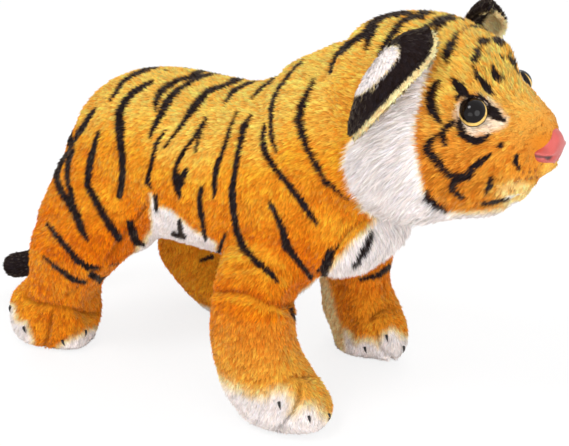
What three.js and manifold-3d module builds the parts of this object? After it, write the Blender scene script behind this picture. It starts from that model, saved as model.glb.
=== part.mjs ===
// A plush tiger that stands on four legs, as its separate sewn and moulded pieces.
// Lengths are in millimetres. +X runs towards the nose, +Y to the animal's left, +Z up.

import * as THREE from "three";
import { mergeVertices } from "three/addons/utils/BufferGeometryUtils.js";
import Module from "manifold-3d";

const wasm = await Module();
wasm.setup();

// Clear space between pieces that touch, the depth of the covers' pile and backing, and the
// distance under which two points are one.
const GAP = 0.3;
const PILE_DEPTH = 5;
const MERGE_DISTANCE = 0.0001;

// Torso: rump to chest, with heights taken from the ground.
const TORSO_REAR = -154;
const TORSO_LENGTH = 275;
const TORSO_HEIGHT = 230;
const TORSO_WIDTH = 124;
// Rows run from the rump forward: place along, top, bottom, half width.
const TORSO_SHARES = [
  [0.02, 0.72, 0.55, 0.2],
  [0.06, 0.8, 0.48, 0.33],
  [0.12, 0.885, 0.44, 0.41],
  [0.21, 0.935, 0.425, 0.465],
  [0.32, 0.96, 0.42, 0.49],
  [0.44, 0.96, 0.425, 0.5],
  [0.57, 0.967, 0.425, 0.49],
  [0.675, 0.995, 0.43, 0.483],
  [0.78, 0.995, 0.44, 0.475],
  [0.87, 0.87, 0.455, 0.44],
  [0.94, 0.77, 0.49, 0.37],
  [0.98, 0.69, 0.55, 0.23],
];

// Neck: a stuffed ball that the torso and the head both turn on.
const NECK_ALONG_SHARE = 0.851;
const NECK_UP_SHARE = 0.87;
const NECK_RADIUS = 59;
const NECK_TILT = 0.45;
const NECK_BAND_HALF_WIDTH = 40;

// Head: nape to nose, with heights taken from the jaw.
const HEAD_OVERLAP_LENGTH = 2;
const HEAD_LENGTH = 146;
const HEAD_BASE_HEIGHT = 165;
const HEAD_HEIGHT = 122;
const HEAD_WIDTH = 124;
// Rows run from the nape forward: place along, top, bottom, half width.
const HEAD_SHARES = [
  [0.03, 0.78, 0.42, 0.19],
  [0.08, 0.89, 0.25, 0.34],
  [0.18, 0.97, 0.06, 0.445],
  [0.3, 1, -0.03, 0.495],
  [0.425, 1, -0.045, 0.5],
  [0.54, 0.965, -0.03, 0.475],
  [0.645, 0.91, 0.01, 0.43],
  [0.73, 0.83, 0.03, 0.365],
  [0.81, 0.72, 0.085, 0.305],
  [0.875, 0.645, 0.18, 0.255],
  [0.93, 0.6, 0.27, 0.21],
  [0.97, 0.545, 0.34, 0.145],
];
// Where the white panels of the head begin, along its length and up its height.
const RUFF_FRONT_SHARE = 0.49;
const RUFF_TOP_SHARE = 0.47;
const MUZZLE_REAR_SHARE = 0.8;
const MUZZLE_TOP_SHARE = 0.5;
const CHIN_TOP_SHARE = 0.265;

// Ears: rows run from the crown down the side, as shares of the head's length, width and height.
const EAR_THICKNESS = 3;
const EAR_RIM_OVERHANG_LENGTH = 3;
const EAR_ROW_STEPS = 2;
const EAR_CROSS_STEPS = 4;
const EAR_BASE_SHARES = [
  [0.48, 0.27, 0.97],
  [0.38, 0.37, 0.88],
  [0.31, 0.46, 0.73],
  [0.27, 0.52, 0.55],
];
const EAR_CROWN_SHARES = [
  [0.5, 0.3, 1.01],
  [0.41, 0.5, 0.98],
  [0.33, 0.6, 0.78],
  [0.28, 0.56, 0.54],
];
const EAR_RIM_SHARES = [
  [0.52, 0.33, 0.98],
  [0.54, 0.56, 0.84],
  [0.42, 0.64, 0.64],
  [0.3, 0.57, 0.5],
];

// Safety eyes: a dome on a shank that a washer holds inside the head.
const EYE_RADIUS = 7.8;
const EYE_DOME_HEIGHT = 5.6;
const EYE_SINK_DEPTH = 1.5;
const EYE_PLACE_SHARES = [0.712, 0.298, 0.664];
const EYE_FACING_SHARES = [0.42, 0.83, 0.36];
const EYE_DOME_STEPS = 4;

// Nose: a moulded pad on its own shank.
const NOSE_PLACE_SHARES = [0.973, 0, 0.451];
const NOSE_WIDTH = 25;
const NOSE_HEIGHT = 22;
const NOSE_DEPTH = 9;
const NOSE_TILT = 0.25;
const NOSE_NARROWING_SHARE = 0.25;
// Layers run from the back of the nose to its face: place through its depth, size.
const NOSE_LAYER_SHARES = [
  [-0.5, 0.86],
  [-0.2, 0.97],
  [0.1, 1],
  [0.35, 0.86],
  [0.5, 0.55],
];

const SHANK_RADIUS = 2.2;
const SHANK_LENGTH = 15;
const WASHER_RADIUS = 7;
const WASHER_THICKNESS = 2.2;
const WASHER_BORE = 2.8;

// Legs: each swings a little on a stuffed hub that is sewn into the torso.
const RIGHT_STANCE_WIDTH = 54;
const LEFT_STANCE_WIDTH = 70;
const PAW_LENGTH = 86;
const PAW_WIDTH = 57;
const FRONT_PIVOT_SHARES = [0.731, 0.487];
const FRONT_HUB_RADIUS = 30;
const HIND_PIVOT_SHARES = [0.2255, 0.5305];
const HIND_HUB_RADIUS = 38;
const HUB_NEAR_DEPTH = 21;
const HUB_STRAIGHT_DEPTH = 36;
const HUB_FAR_DEPTH = 69;
const HUB_DOME_STEPS = 2;
const LEG_SWING = 10;
const SWEEP_CLEARANCE = 7.8;
const SWEEP_LOW_HEIGHT = 70;
const LEG_HEIGHT = 140;
// Rows run from the hub to the ground: height, forward, outward, half length, half width.
const FRONT_LEG_SHARES = [
  [0.96, -0.036, 0.78, 0.2, 0.26],
  [0.88, -0.05, 0.84, 0.32, 0.38],
  [0.714, -0.055, 0.92, 0.37, 0.45],
  [0.536, -0.06, 0.98, 0.365, 0.455],
  [0.393, -0.02, 1, 0.38, 0.46],
  [0.3, 0.05, 1, 0.42, 0.465],
  [0.2, 0.12, 1, 0.465, 0.475],
  [0.11, 0.18, 1, 0.46, 0.465],
  [0.035, 0.19, 0.99, 0.4, 0.4],
  [-0.004, 0.19, 0.98, 0.34, 0.31],
];
const HIND_LEG_SHARES = [
  [1.14, -0.03, 0.76, 0.24, 0.24],
  [1, -0.012, 0.8, 0.4, 0.38],
  [0.843, -0.06, 0.86, 0.48, 0.46],
  [0.7, -0.16, 0.92, 0.45, 0.48],
  [0.557, -0.3, 0.96, 0.37, 0.465],
  [0.43, -0.44, 0.93, 0.335, 0.45],
  [0.32, -0.55, 0.9, 0.4, 0.455],
  [0.23, -0.63, 0.88, 0.455, 0.47],
  [0.13, -0.66, 0.87, 0.46, 0.47],
  [0.04, -0.65, 0.87, 0.41, 0.4],
  [-0.004, -0.65, 0.87, 0.35, 0.31],
];
// The left hind leg is stepping forward, so its rows lie further ahead.
const STEPPING_FORWARD_SHARES = [-0.01, 0.01, -0.03, -0.1, -0.17, -0.15, -0.06, 0.1, 0.22, 0.3, 0.32];
// The paws point a little inwards, from the ankle down.
const TOE_IN = 16;
const ANKLE_SHARE = 0.43;
const SOLE_SHARE = 0.8;
const TOE_FRONT_SHARE = 0.2;
const TOE_TOP_HEIGHT = 30;

// Tail: it falls from its root in the rump, reaching back and a little aside.
const TAIL_RADIUS = 12;
const TAIL_ROOT_SHARES = [0.051, 0.748];
const TAIL_BACK_LENGTH = 95;
const TAIL_ASIDE_WIDTH = 9;
const TAIL_FALL_HEIGHT = 147;
// Points run from the root to the tip: back, aside, down.
const TAIL_ROUTE_SHARES = [
  [0, 0, 0],
  [0.22, 0, 0.18],
  [0.36, 0, 0.38],
  [0.485, 0.2, 0.6],
  [0.62, 0.55, 0.8],
  [0.79, 0.9, 0.945],
  [1, 1, 1],
];
const TAIL_ROOT_BALL_RADIUS = 13;
const TAIL_DROP = 6;
const TAIL_CLEARANCE = 2;
const TAIL_LIFT_ROOM = 20;
const TAIL_BALL_EXTRA_RADIUS = 1;
const TAIL_CUT_RADIUS = 80;
const TAIL_MIDDLE_SHARE = 0.48;
const TAIL_TIP_SHARE = 0.8;
const TAIL_STEPS = 9;

// Belly, chest and throat panels: their side outlines, along the torso and up its height.
const BELLY_OUTLINE_SHARES = [
  [0.095, 0.26],
  [0.125, 0.513],
  [0.24, 0.59],
  [0.395, 0.62],
  [0.58, 0.583],
  [0.78, 0.504],
  [0.88, 0.452],
  [0.88, 0.26],
];
const CHEST_SEAM_SHARE = 0.887;
const CHEST_SEAM_LEAN_LENGTH = 20;
// The throat's white panel starts this far ahead of the neck's middle and ends this far above it.
const THROAT_FRONT_SHARE = 0.27;
const THROAT_TOP_SHARE = 0.24;

const SKIN_SIDES = 16;
const NECK_SIDES = 16;
const LEG_SIDES = 12;
const HUB_SIDES = 12;
const EYE_SIDES = 12;
const TAIL_SIDES = 8;
const CORE_SIDES = 8;
const FITTING_SIDES = 6;
const FULLNESS = 2.25;
const INNER_ROW_STEP = 2;

// Each material's colour and roughness.
const MATERIALS = {
  orange: [0xd9822b, 0.9],
  white: [0xf1e9e4, 0.9],
  black: [0x1d1a1a, 0.9],
  cream: [0xe9d49a, 0.9],
  fibre: [0xf4f4f0, 1],
  eye: [0x14100c, 0.1],
  nose: [0xd9776f, 0.4],
  washer: [0xdcdcd6, 0.5],
};

const group = new THREE.Group();
group.name = "plush_tiger";

// Add one closed body to the assembly under its own name and material.
function addPiece(name, solid, kind) {
  const body = largestBody(solid);
  const data = body.getMesh();
  const geometry = new THREE.BufferGeometry();
  const points = [];
  for (let index = 0; index < data.vertProperties.length; index += data.numProp) {
    points.push(...data.vertProperties.slice(index, index + 3));
  }
  geometry.setAttribute("position", new THREE.Float32BufferAttribute(points, 3));
  geometry.setIndex(Array.from(data.triVerts));
  const [color, roughness] = MATERIALS[kind];
  const material = new THREE.MeshStandardMaterial({ color, roughness, metalness: 0 });
  const mesh = new THREE.Mesh(geometry, material);
  mesh.name = name;
  group.add(mesh);
}

// A cut can leave a crumb behind, so a piece is its largest body.
function largestBody(solid) {
  const bodies = solid.decompose();
  return bodies.reduce((best, body) => (body.volume() > best.volume() ? body : best));
}

// Turn a three.js geometry into a solid that can be cut.
function toSolid(geometry) {
  const bare = geometry.index ? geometry.toNonIndexed() : geometry.clone();
  bare.deleteAttribute("normal");
  bare.deleteAttribute("uv");
  const merged = mergeVertices(bare, MERGE_DISTANCE);
  const solid = new wasm.Manifold(new wasm.Mesh({
    numProp: 3,
    vertProperties: new Float32Array(merged.attributes.position.array),
    triVerts: new Uint32Array(merged.index.array),
  }));
  return solid;
}

// Close a skin over rings of points, with a fan on a pole at each end.
function skinOver(rings, firstPole, lastPole) {
  const sides = rings[0].length;
  const points = [firstPole, ...rings.flat(), lastPole];
  const last = points.length - 1;
  const faces = [];
  const at = (ring, side) => 1 + ring * sides + (side % sides);
  for (let side = 0; side < sides; side += 1) {
    faces.push([0, at(0, side + 1), at(0, side)]);
    faces.push([last, at(rings.length - 1, side), at(rings.length - 1, side + 1)]);
    for (let ring = 0; ring < rings.length - 1; ring += 1) {
      faces.push([at(ring, side), at(ring, side + 1), at(ring + 1, side + 1)]);
      faces.push([at(ring, side), at(ring + 1, side + 1), at(ring + 1, side)]);
    }
  }
  if (signedVolume(points, faces) < 0) {
    faces.forEach((face) => face.reverse());
  }
  const geometry = new THREE.BufferGeometry();
  const places = points.flatMap((point) => point.toArray());
  geometry.setAttribute("position", new THREE.Float32BufferAttribute(places, 3));
  geometry.setIndex(faces.flat());
  return toSolid(geometry);
}

function signedVolume(points, faces) {
  const spread = new THREE.Vector3();
  return faces.reduce(
    (sum, [a, b, c]) => sum + points[a].dot(spread.crossVectors(points[b], points[c])), 0,
  );
}

// Rows between the rows of a table, on a smooth curve through them.
function smoothRows(rows) {
  const result = [];
  const span = rows.length - 1;
  for (let index = 0; index <= span * EAR_ROW_STEPS; index += 1) {
    const place = index / EAR_ROW_STEPS;
    const from = Math.min(Math.floor(place), span - 1);
    const part = place - from;
    const [before, start, end, after] = [from - 1, from, from + 1, from + 2].map(
      (row) => rows[Math.min(Math.max(row, 0), span)],
    );
    result.push(start.map((value, column) => {
      const slopeIn = (end[column] - before[column]) / 2;
      const slopeOut = (after[column] - value) / 2;
      const rise = end[column] - value;
      return value + part * (slopeIn + part * (3 * rise - 2 * slopeIn - slopeOut
        + part * (slopeIn + slopeOut - 2 * rise)));
    }));
  }
  return result;
}

// One full, slightly squared ring about a centre.
function ringAbout(centre, across, upward, halfAcross, halfUp, sides) {
  const points = [];
  for (let side = 0; side < sides; side += 1) {
    const angle = (2 * Math.PI * side) / sides;
    const squared = (value) => Math.sign(value) * Math.abs(value) ** (2 / FULLNESS);
    points.push(centre.clone()
      .addScaledVector(across, squared(Math.cos(angle)) * halfAcross)
      .addScaledVector(upward, squared(Math.sin(angle)) * halfUp));
  }
  return points;
}

function ringMiddle(ring) {
  return ring.reduce((sum, point) => sum.add(point), new THREE.Vector3()).divideScalar(ring.length);
}

// The reach of the solids that only cut, past every side of the part.
const WIDE = TORSO_LENGTH;

const FORWARD = new THREE.Vector3(1, 0, 0);
const LEFTWARD = new THREE.Vector3(0, 1, 0);
const UPWARD = new THREE.Vector3(0, 0, 1);

// A form that lies along X, from every so many rows of a table, drawn in by an inset.
function lyingForm(form, inset, every, sides) {
  const length = form.length - 2 * inset;
  const placed = form.rows.filter((_, row) => row % every === 0).map(([along, top, bottom, half]) => {
    const high = form.base + top * form.height - inset;
    const low = form.base + bottom * form.height + inset;
    return {
      x: form.rear + inset + along * length,
      middle: (high + low) / 2,
      halfUp: Math.max((high - low) / 2, inset / 2),
      half: Math.max(half * form.width - inset, inset / 2),
    };
  });
  const rings = placed.map((row) => ringAbout(
    new THREE.Vector3(row.x, 0, row.middle), LEFTWARD, UPWARD, row.half, row.halfUp, sides,
  ));
  const ends = [placed[0], placed[placed.length - 1]];
  const poles = ends.map((row, index) => new THREE.Vector3(
    index === 0 ? form.rear + inset : form.rear + inset + length, 0, row.middle,
  ));
  return skinOver(rings, poles[0], poles[1]);
}

// A point in the middle plane, by its shares of the torso's length and height.
function torsoPoint([along, up]) {
  return new THREE.Vector3(TORSO_REAR + along * TORSO_LENGTH, 0, up * TORSO_HEIGHT);
}

const NECK_PIVOT = torsoPoint([NECK_ALONG_SHARE, NECK_UP_SHARE]);
const HEAD_REAR = NECK_PIVOT.x - HEAD_OVERLAP_LENGTH;

const TORSO_FORM = {
  rear: TORSO_REAR,
  length: TORSO_LENGTH,
  base: 0,
  height: TORSO_HEIGHT,
  width: TORSO_WIDTH,
  rows: TORSO_SHARES,
};
const HEAD_FORM = {
  rear: HEAD_REAR,
  length: HEAD_LENGTH,
  base: HEAD_BASE_HEIGHT,
  height: HEAD_HEIGHT,
  width: HEAD_WIDTH,
  rows: HEAD_SHARES,
};

// A point turned about a line through another point.
function turnedPoint(point, origin, axis, degrees) {
  return point.clone().sub(origin).applyAxisAngle(axis, THREE.MathUtils.degToRad(degrees)).add(origin);
}

// A body of revolution about a line, from a profile of distance along it and radius.
function revolved(profile, origin, axis, sides, start = 0) {
  const outline = profile.map(([along, radius]) => new THREE.Vector2(radius, along));
  const geometry = new THREE.LatheGeometry(outline, sides, start);
  geometry.applyQuaternion(new THREE.Quaternion().setFromUnitVectors(LEFTWARD, axis));
  geometry.translate(origin.x, origin.y, origin.z);
  const solid = toSolid(geometry);
  return solid.volume() < 0 ? flipped(geometry) : solid;
}

function flipped(geometry) {
  const index = Array.from(geometry.index.array);
  for (let face = 0; face < index.length; face += 3) {
    [index[face], index[face + 1]] = [index[face + 1], index[face]];
  }
  const turnedOut = geometry.clone();
  turnedOut.setIndex(index);
  return toSolid(turnedOut);
}

function ballAt(centre, radius, axis, sides) {
  const profile = [];
  const steps = sides / 2;
  for (let step = 0; step <= steps; step += 1) {
    const angle = (Math.PI * step) / steps - Math.PI / 2;
    profile.push([radius * Math.sin(angle), step % steps === 0 ? 0 : radius * Math.cos(angle)]);
  }
  return revolved(profile, centre, axis, sides);
}

// A faceted socket in which a faceted ball turns freely: at rest its facets face the ball's corners.
function socketAt(centre, radius, axis, sides) {
  const halfSide = Math.PI / sides;
  const reach = (radius + GAP) / Math.cos(halfSide) ** 2;
  const profile = [[-reach * Math.cos(halfSide), 0]];
  for (let angle = halfSide; angle < Math.PI; angle += 2 * halfSide) {
    profile.push([-reach * Math.cos(angle), reach * Math.sin(angle)]);
  }
  profile.push([reach * Math.cos(halfSide), 0]);
  return revolved(profile, centre, axis, sides, halfSide);
}

// A box between two corners.
function boxBetween(low, high) {
  const size = new THREE.Vector3().subVectors(high, low);
  const geometry = new THREE.BoxGeometry(size.x, size.y, size.z);
  const middle = new THREE.Vector3().addVectors(low, high).multiplyScalar(1 / 2);
  geometry.translate(middle.x, middle.y, middle.z);
  return toSolid(geometry);
}

// A prism across the whole width, from an outline in X and Z.
function prismAcross(outline) {
  const shape = new THREE.Shape(outline.map(([x, z]) => new THREE.Vector2(x, z)));
  const geometry = new THREE.ExtrudeGeometry(shape, { depth: 2 * WIDE, bevelEnabled: false });
  geometry.rotateX(Math.PI / 2);
  geometry.translate(0, WIDE, 0);
  return toSolid(geometry);
}

const NECK_SLOPE = new THREE.Vector3(1, 0, NECK_TILT).normalize();

// The neck's cover is a band of a ball, open at both ends, where its stuffing meets the others'.
function neckForm() {
  const band = rodAlong(
    NECK_PIVOT, NECK_SLOPE, -NECK_BAND_HALF_WIDTH, NECK_BAND_HALF_WIDTH, WIDE, CORE_SIDES,
  );
  return ballAt(NECK_PIVOT, NECK_RADIUS, UPWARD, NECK_SIDES).intersect(band);
}

// The four legs, with the table of each one's rows.
function legTable(side, isFront) {
  const rows = isFront ? FRONT_LEG_SHARES : HIND_LEG_SHARES;
  const pivotPlace = isFront ? FRONT_PIVOT_SHARES : HIND_PIVOT_SHARES;
  const steps = !isFront && side > 0;
  return {
    name: `${side > 0 ? "left" : "right"}_${isFront ? "front" : "hind"}`,
    side,
    stance: side > 0 ? LEFT_STANCE_WIDTH : RIGHT_STANCE_WIDTH,
    pivot: torsoPoint(pivotPlace),
    hubRadius: isFront ? FRONT_HUB_RADIUS : HIND_HUB_RADIUS,
    rows: rows.map((row, index) => (steps
      ? [row[0], STEPPING_FORWARD_SHARES[index], ...row.slice(2)]
      : row)),
  };
}

const LEGS = [legTable(-1, true), legTable(1, true), legTable(-1, false), legTable(1, false)];

// The hub that a leg turns on: flat inside the torso, domed outside it.
function hubOf(leg, radius, extra) {
  const profile = [[HUB_NEAR_DEPTH - extra, 0], [HUB_NEAR_DEPTH - extra, radius]];
  const dome = HUB_FAR_DEPTH - HUB_STRAIGHT_DEPTH + extra;
  for (let step = 0; step < HUB_DOME_STEPS; step += 1) {
    const angle = (Math.PI / 2) * (step / HUB_DOME_STEPS);
    profile.push([HUB_STRAIGHT_DEPTH + dome * Math.sin(angle), radius * Math.cos(angle)]);
  }
  profile.push([HUB_STRAIGHT_DEPTH + dome, 0]);
  return revolved(profile, leg.pivot, new THREE.Vector3(0, leg.side, 0), HUB_SIDES);
}

// The rings of a leg's rows, drawn in by an inset.
function limbRings(leg, rows, inset, sides) {
  return rows.map(([height, forward, outward, halfLength, halfWidth]) => {
    const turn = -leg.side * TOE_IN * (1 - Math.min(Math.max(height, 0) / ANKLE_SHARE, 1));
    const turning = (vector) => vector.clone().applyAxisAngle(UPWARD, THREE.MathUtils.degToRad(turn));
    const ankle = leg.rows.find((row) => row[0] <= ANKLE_SHARE)[1];
    const centre = turning(FORWARD).multiplyScalar((forward - ankle) * PAW_LENGTH).add(new THREE.Vector3(
      leg.pivot.x + ankle * PAW_LENGTH, leg.side * outward * leg.stance, height * LEG_HEIGHT,
    ));
    return ringAbout(
      centre, turning(FORWARD), turning(LEFTWARD),
      halfLength * PAW_LENGTH - inset, halfWidth * PAW_WIDTH - inset, sides,
    );
  });
}

function limbOf(leg, inset, sides) {
  const every = inset > 0 ? INNER_ROW_STEP : 1;
  const rings = limbRings(leg, leg.rows.filter((_, row) => row % every === 0), inset, sides);
  return skinOver(rings, ringMiddle(rings[0]), ringMiddle(rings[rings.length - 1]));
}

// A whole leg: its hub and its limb.
function legForm(leg) {
  return hubOf(leg, leg.hubRadius, 0).add(limbOf(leg, 0, LEG_SIDES));
}

// The hollow of a leg's cover, which opens through the hub towards the torso's stuffing.
function legHollow(leg, inset, start) {
  const outward = new THREE.Vector3(0, leg.side, 0);
  const bore = leg.hubRadius - inset;
  const passage = rodAlong(leg.pivot, outward, start, HUB_STRAIGHT_DEPTH, bore, CORE_SIDES);
  const floor = boxBetween(new THREE.Vector3(-WIDE, -WIDE, inset), new THREE.Vector3(WIDE, WIDE, WIDE));
  return limbOf(leg, inset, CORE_SIDES).add(passage).intersect(floor);
}

const ABOVE_GROUND = boxBetween(new THREE.Vector3(-WIDE, -WIDE, 0), new THREE.Vector3(WIDE, WIDE, WIDE));

// The room that a leg needs in the torso between the limits of its swing: each point of its rings
// moves out by as far as the swing takes it, and up as well above the pivot.
function sweepOf(leg) {
  const hub = hubOf(leg, (leg.hubRadius + GAP) / Math.cos(Math.PI / HUB_SIDES), GAP);
  const rows = leg.rows.filter(([height]) => height * LEG_HEIGHT > SWEEP_LOW_HEIGHT);
  const slope = Math.tan(THREE.MathUtils.degToRad(LEG_SWING));
  const rings = limbRings(leg, rows, -SWEEP_CLEARANCE, LEG_SIDES).map((ring) => {
    const centre = ringMiddle(ring);
    return ring.map((point) => {
      const arm = point.clone().sub(leg.pivot);
      const outward = Math.abs(arm.z) * slope * Math.sign(point.x - centre.x);
      const upward = arm.z > 0 ? Math.abs(arm.x) * slope : 0;
      return point.clone().addScaledVector(FORWARD, outward).addScaledVector(UPWARD, upward);
    });
  });
  return hub.add(skinOver(rings, ringMiddle(rings[0]), ringMiddle(rings[rings.length - 1])));
}

const SWEEPS = LEGS.map(sweepOf);
const NECK_SOCKET = socketAt(NECK_PIVOT, NECK_RADIUS, UPWARD, NECK_SIDES);
const SOCKETS = SWEEPS.reduce((sum, sweep) => sum.add(sweep), NECK_SOCKET);

function addTorso() {
  const whole = lyingForm(TORSO_FORM, 0, 1, SKIN_SIDES);
  const hollow = lyingForm(TORSO_FORM, PILE_DEPTH, INNER_ROW_STEP, CORE_SIDES);
  const openings = SOCKETS.add(tailSocket());
  const cover = whole.subtract(hollow).subtract(openings);
  const behindChest = cover.subtract(chestPrism(-GAP));
  const outline = BELLY_OUTLINE_SHARES.map((place) => [torsoPoint(place).x, torsoPoint(place).z]);
  addPiece("torso_cover", behindChest.subtract(prismAcross(grownOutline(outline))), "orange");
  addPiece("belly_panel", behindChest.intersect(prismAcross(outline)), "white");
  addPiece("chest_panel", cover.intersect(chestPrism(0)), "white");
  const core = lyingForm(TORSO_FORM, PILE_DEPTH + GAP, INNER_ROW_STEP, CORE_SIDES);
  addPiece("torso_stuffing", core.subtract(openings), "fibre");
}

// An outline moved outwards by the gap, away from its middle.
function grownOutline(outline) {
  const middle = outline.reduce(
    (sum, [x, z]) => [sum[0] + x / outline.length, sum[1] + z / outline.length], [0, 0],
  );
  return outline.map(([x, z]) => {
    const reach = Math.hypot(x - middle[0], z - middle[1]);
    const grown = (reach + 2 * GAP) / reach;
    return [middle[0] + (x - middle[0]) * grown, middle[1] + (z - middle[1]) * grown];
  });
}

// The white front of the chest, ahead of a seam that leans forward.
function chestPrism(shift) {
  const seam = TORSO_REAR + CHEST_SEAM_SHARE * TORSO_LENGTH + shift;
  const top = [seam + CHEST_SEAM_LEAN_LENGTH, TORSO_HEIGHT];
  return prismAcross([[seam, 0], top, [WIDE, TORSO_HEIGHT], [WIDE, 0]]);
}

function addNeck() {
  const hollow = ballAt(NECK_PIVOT, NECK_RADIUS - PILE_DEPTH, UPWARD, CORE_SIDES);
  const cover = neckForm().subtract(hollow);
  const front = NECK_PIVOT.x + THROAT_FRONT_SHARE * NECK_RADIUS;
  const top = NECK_PIVOT.z + THROAT_TOP_SHARE * NECK_RADIUS;
  const throat = (edge) => boxBetween(
    new THREE.Vector3(front - edge, -WIDE, 0), new THREE.Vector3(WIDE, WIDE, top + edge),
  );
  addPiece("neck_cover", cover.subtract(throat(GAP)), "orange");
  addPiece("throat_panel", cover.intersect(throat(0)), "white");
  const core = ballAt(NECK_PIVOT, NECK_RADIUS - PILE_DEPTH - GAP, UPWARD, CORE_SIDES);
  addPiece("neck_stuffing", core, "fibre");
}

function headPoint([along, out, up], side) {
  return new THREE.Vector3(
    HEAD_REAR + along * HEAD_LENGTH, side * out * HEAD_WIDTH, HEAD_BASE_HEIGHT + up * HEAD_HEIGHT,
  );
}

// A cylinder from a point along a direction.
function rodAlong(start, direction, from, to, radius, sides) {
  return revolved([[from, 0], [from, radius], [to, radius], [to, 0]], start, direction, sides);
}

// The two eyes and the nose, each with the shank and the washer that hold it.
function eyeSeat(side) {
  const [x, y, z] = EYE_FACING_SHARES;
  return {
    name: side > 0 ? "left_eye" : "right_eye",
    point: headPoint(EYE_PLACE_SHARES, side),
    facing: new THREE.Vector3(x, side * y, z).normalize(),
  };
}

const NOSE_SEAT = {
  name: "nose",
  point: headPoint(NOSE_PLACE_SHARES, 1),
  facing: new THREE.Vector3(1, 0, NOSE_TILT).normalize(),
};

function eyeDome(seat, extra) {
  const back = -EYE_SINK_DEPTH - extra;
  const profile = [[back, 0], [back, EYE_RADIUS + extra], [0, EYE_RADIUS + extra]];
  for (let step = 1; step < EYE_DOME_STEPS; step += 1) {
    const angle = (Math.PI / 2) * (step / EYE_DOME_STEPS);
    profile.push([(EYE_DOME_HEIGHT + extra) * Math.sin(angle), (EYE_RADIUS + extra) * Math.cos(angle)]);
  }
  profile.push([EYE_DOME_HEIGHT + extra, 0]);
  return revolved(profile, seat.point, seat.facing, EYE_SIDES);
}

// A moulded nose: a rounded triangle, wide above and narrow below, that swells towards its face.
function nosePad(extra) {
  const upward = new THREE.Vector3().crossVectors(NOSE_SEAT.facing, LEFTWARD);
  const centreAt = (depth) => NOSE_SEAT.point.clone()
    .addScaledVector(NOSE_SEAT.facing, depth * (NOSE_DEPTH + 2 * extra));
  const rings = NOSE_LAYER_SHARES.map(([depth, size]) => {
    const points = [];
    for (let side = 0; side < LEG_SIDES; side += 1) {
      const angle = (2 * Math.PI * side) / LEG_SIDES;
      const narrowing = 1 - NOSE_NARROWING_SHARE * (1 - Math.sin(angle));
      points.push(centreAt(depth)
        .addScaledVector(LEFTWARD, Math.cos(angle) * narrowing * size * (NOSE_WIDTH / 2 + extra))
        .addScaledVector(upward, Math.sin(angle) * size * (NOSE_HEIGHT / 2 + extra)));
    }
    return points;
  });
  const ends = [NOSE_LAYER_SHARES[0], NOSE_LAYER_SHARES[NOSE_LAYER_SHARES.length - 1]];
  return skinOver(rings, ...ends.map(([depth]) => centreAt(depth)));
}

function washerOf(seat, extra) {
  const front = -PILE_DEPTH - EYE_SINK_DEPTH;
  const back = front - WASHER_THICKNESS;
  return rodAlong(seat.point, seat.facing, back - extra, front + extra, WASHER_RADIUS + extra, EYE_SIDES);
}

function shankOf(seat, extra) {
  return rodAlong(seat.point, seat.facing, -SHANK_LENGTH - extra, 0, SHANK_RADIUS + extra, FITTING_SIDES);
}

function addHead() {
  const whole = lyingForm(HEAD_FORM, 0, 1, SKIN_SIDES);
  const hollow = lyingForm(HEAD_FORM, PILE_DEPTH, INNER_ROW_STEP, CORE_SIDES);
  const core = lyingForm(HEAD_FORM, PILE_DEPTH + GAP, INNER_ROW_STEP, CORE_SIDES);
  const seats = [eyeSeat(-1), eyeSeat(1), NOSE_SEAT];
  const domes = seats.map((seat) => (seat === NOSE_SEAT ? nosePad(GAP) : eyeDome(seat, GAP)));
  const fittings = seats.reduce(
    (sum, seat, index) => sum.add(domes[index]).add(shankOf(seat, GAP)).add(washerOf(seat, GAP)), domes[0],
  );
  const cover = whole.subtract(hollow).subtract(NECK_SOCKET).subtract(fittings);
  const at = (share) => HEAD_REAR + share * HEAD_LENGTH;
  const up = (share) => HEAD_BASE_HEIGHT + share * HEAD_HEIGHT;
  const low = -WIDE;
  const ruff = (edge) => prismAcross([
    [0, low], [0, up(RUFF_TOP_SHARE) + edge], [at(RUFF_FRONT_SHARE) + edge, up(RUFF_TOP_SHARE) + edge],
    [at(RUFF_FRONT_SHARE) + edge, low],
  ]);
  const muzzle = (edge) => prismAcross([
    [at(MUZZLE_REAR_SHARE) - edge, low], [at(MUZZLE_REAR_SHARE) - edge, up(MUZZLE_TOP_SHARE) + edge],
    [at(1) + PILE_DEPTH, up(MUZZLE_TOP_SHARE) + edge], [at(1) + PILE_DEPTH, low],
  ]);
  const band = (from, to) => boxBetween(new THREE.Vector3(0, low, from), new THREE.Vector3(WIDE, WIDE, to));
  const chin = band(low, up(CHIN_TOP_SHARE));
  const lip = band(up(CHIN_TOP_SHARE) + GAP, WIDE);
  addPiece("head_cover", cover.subtract(ruff(GAP)).subtract(muzzle(GAP)), "orange");
  addPiece("ruff", cover.intersect(ruff(0)), "white");
  addPiece("muzzle", cover.intersect(muzzle(0)).intersect(lip), "white");
  addPiece("chin", cover.intersect(muzzle(0)).intersect(chin), "white");
  addPiece("head_stuffing", core.subtract(NECK_SOCKET).subtract(fittings), "fibre");
  for (const seat of seats) {
    const face = seat === NOSE_SEAT ? nosePad(0) : eyeDome(seat, 0);
    addPiece(seat.name, face.add(shankOf(seat, 0)), seat === NOSE_SEAT ? "nose" : "eye");
    const bore = rodAlong(seat.point, seat.facing, -SHANK_LENGTH, 0, WASHER_BORE, FITTING_SIDES);
    addPiece(`${seat.name}_washer`, washerOf(seat, 0).subtract(bore), "washer");
  }
}

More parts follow.
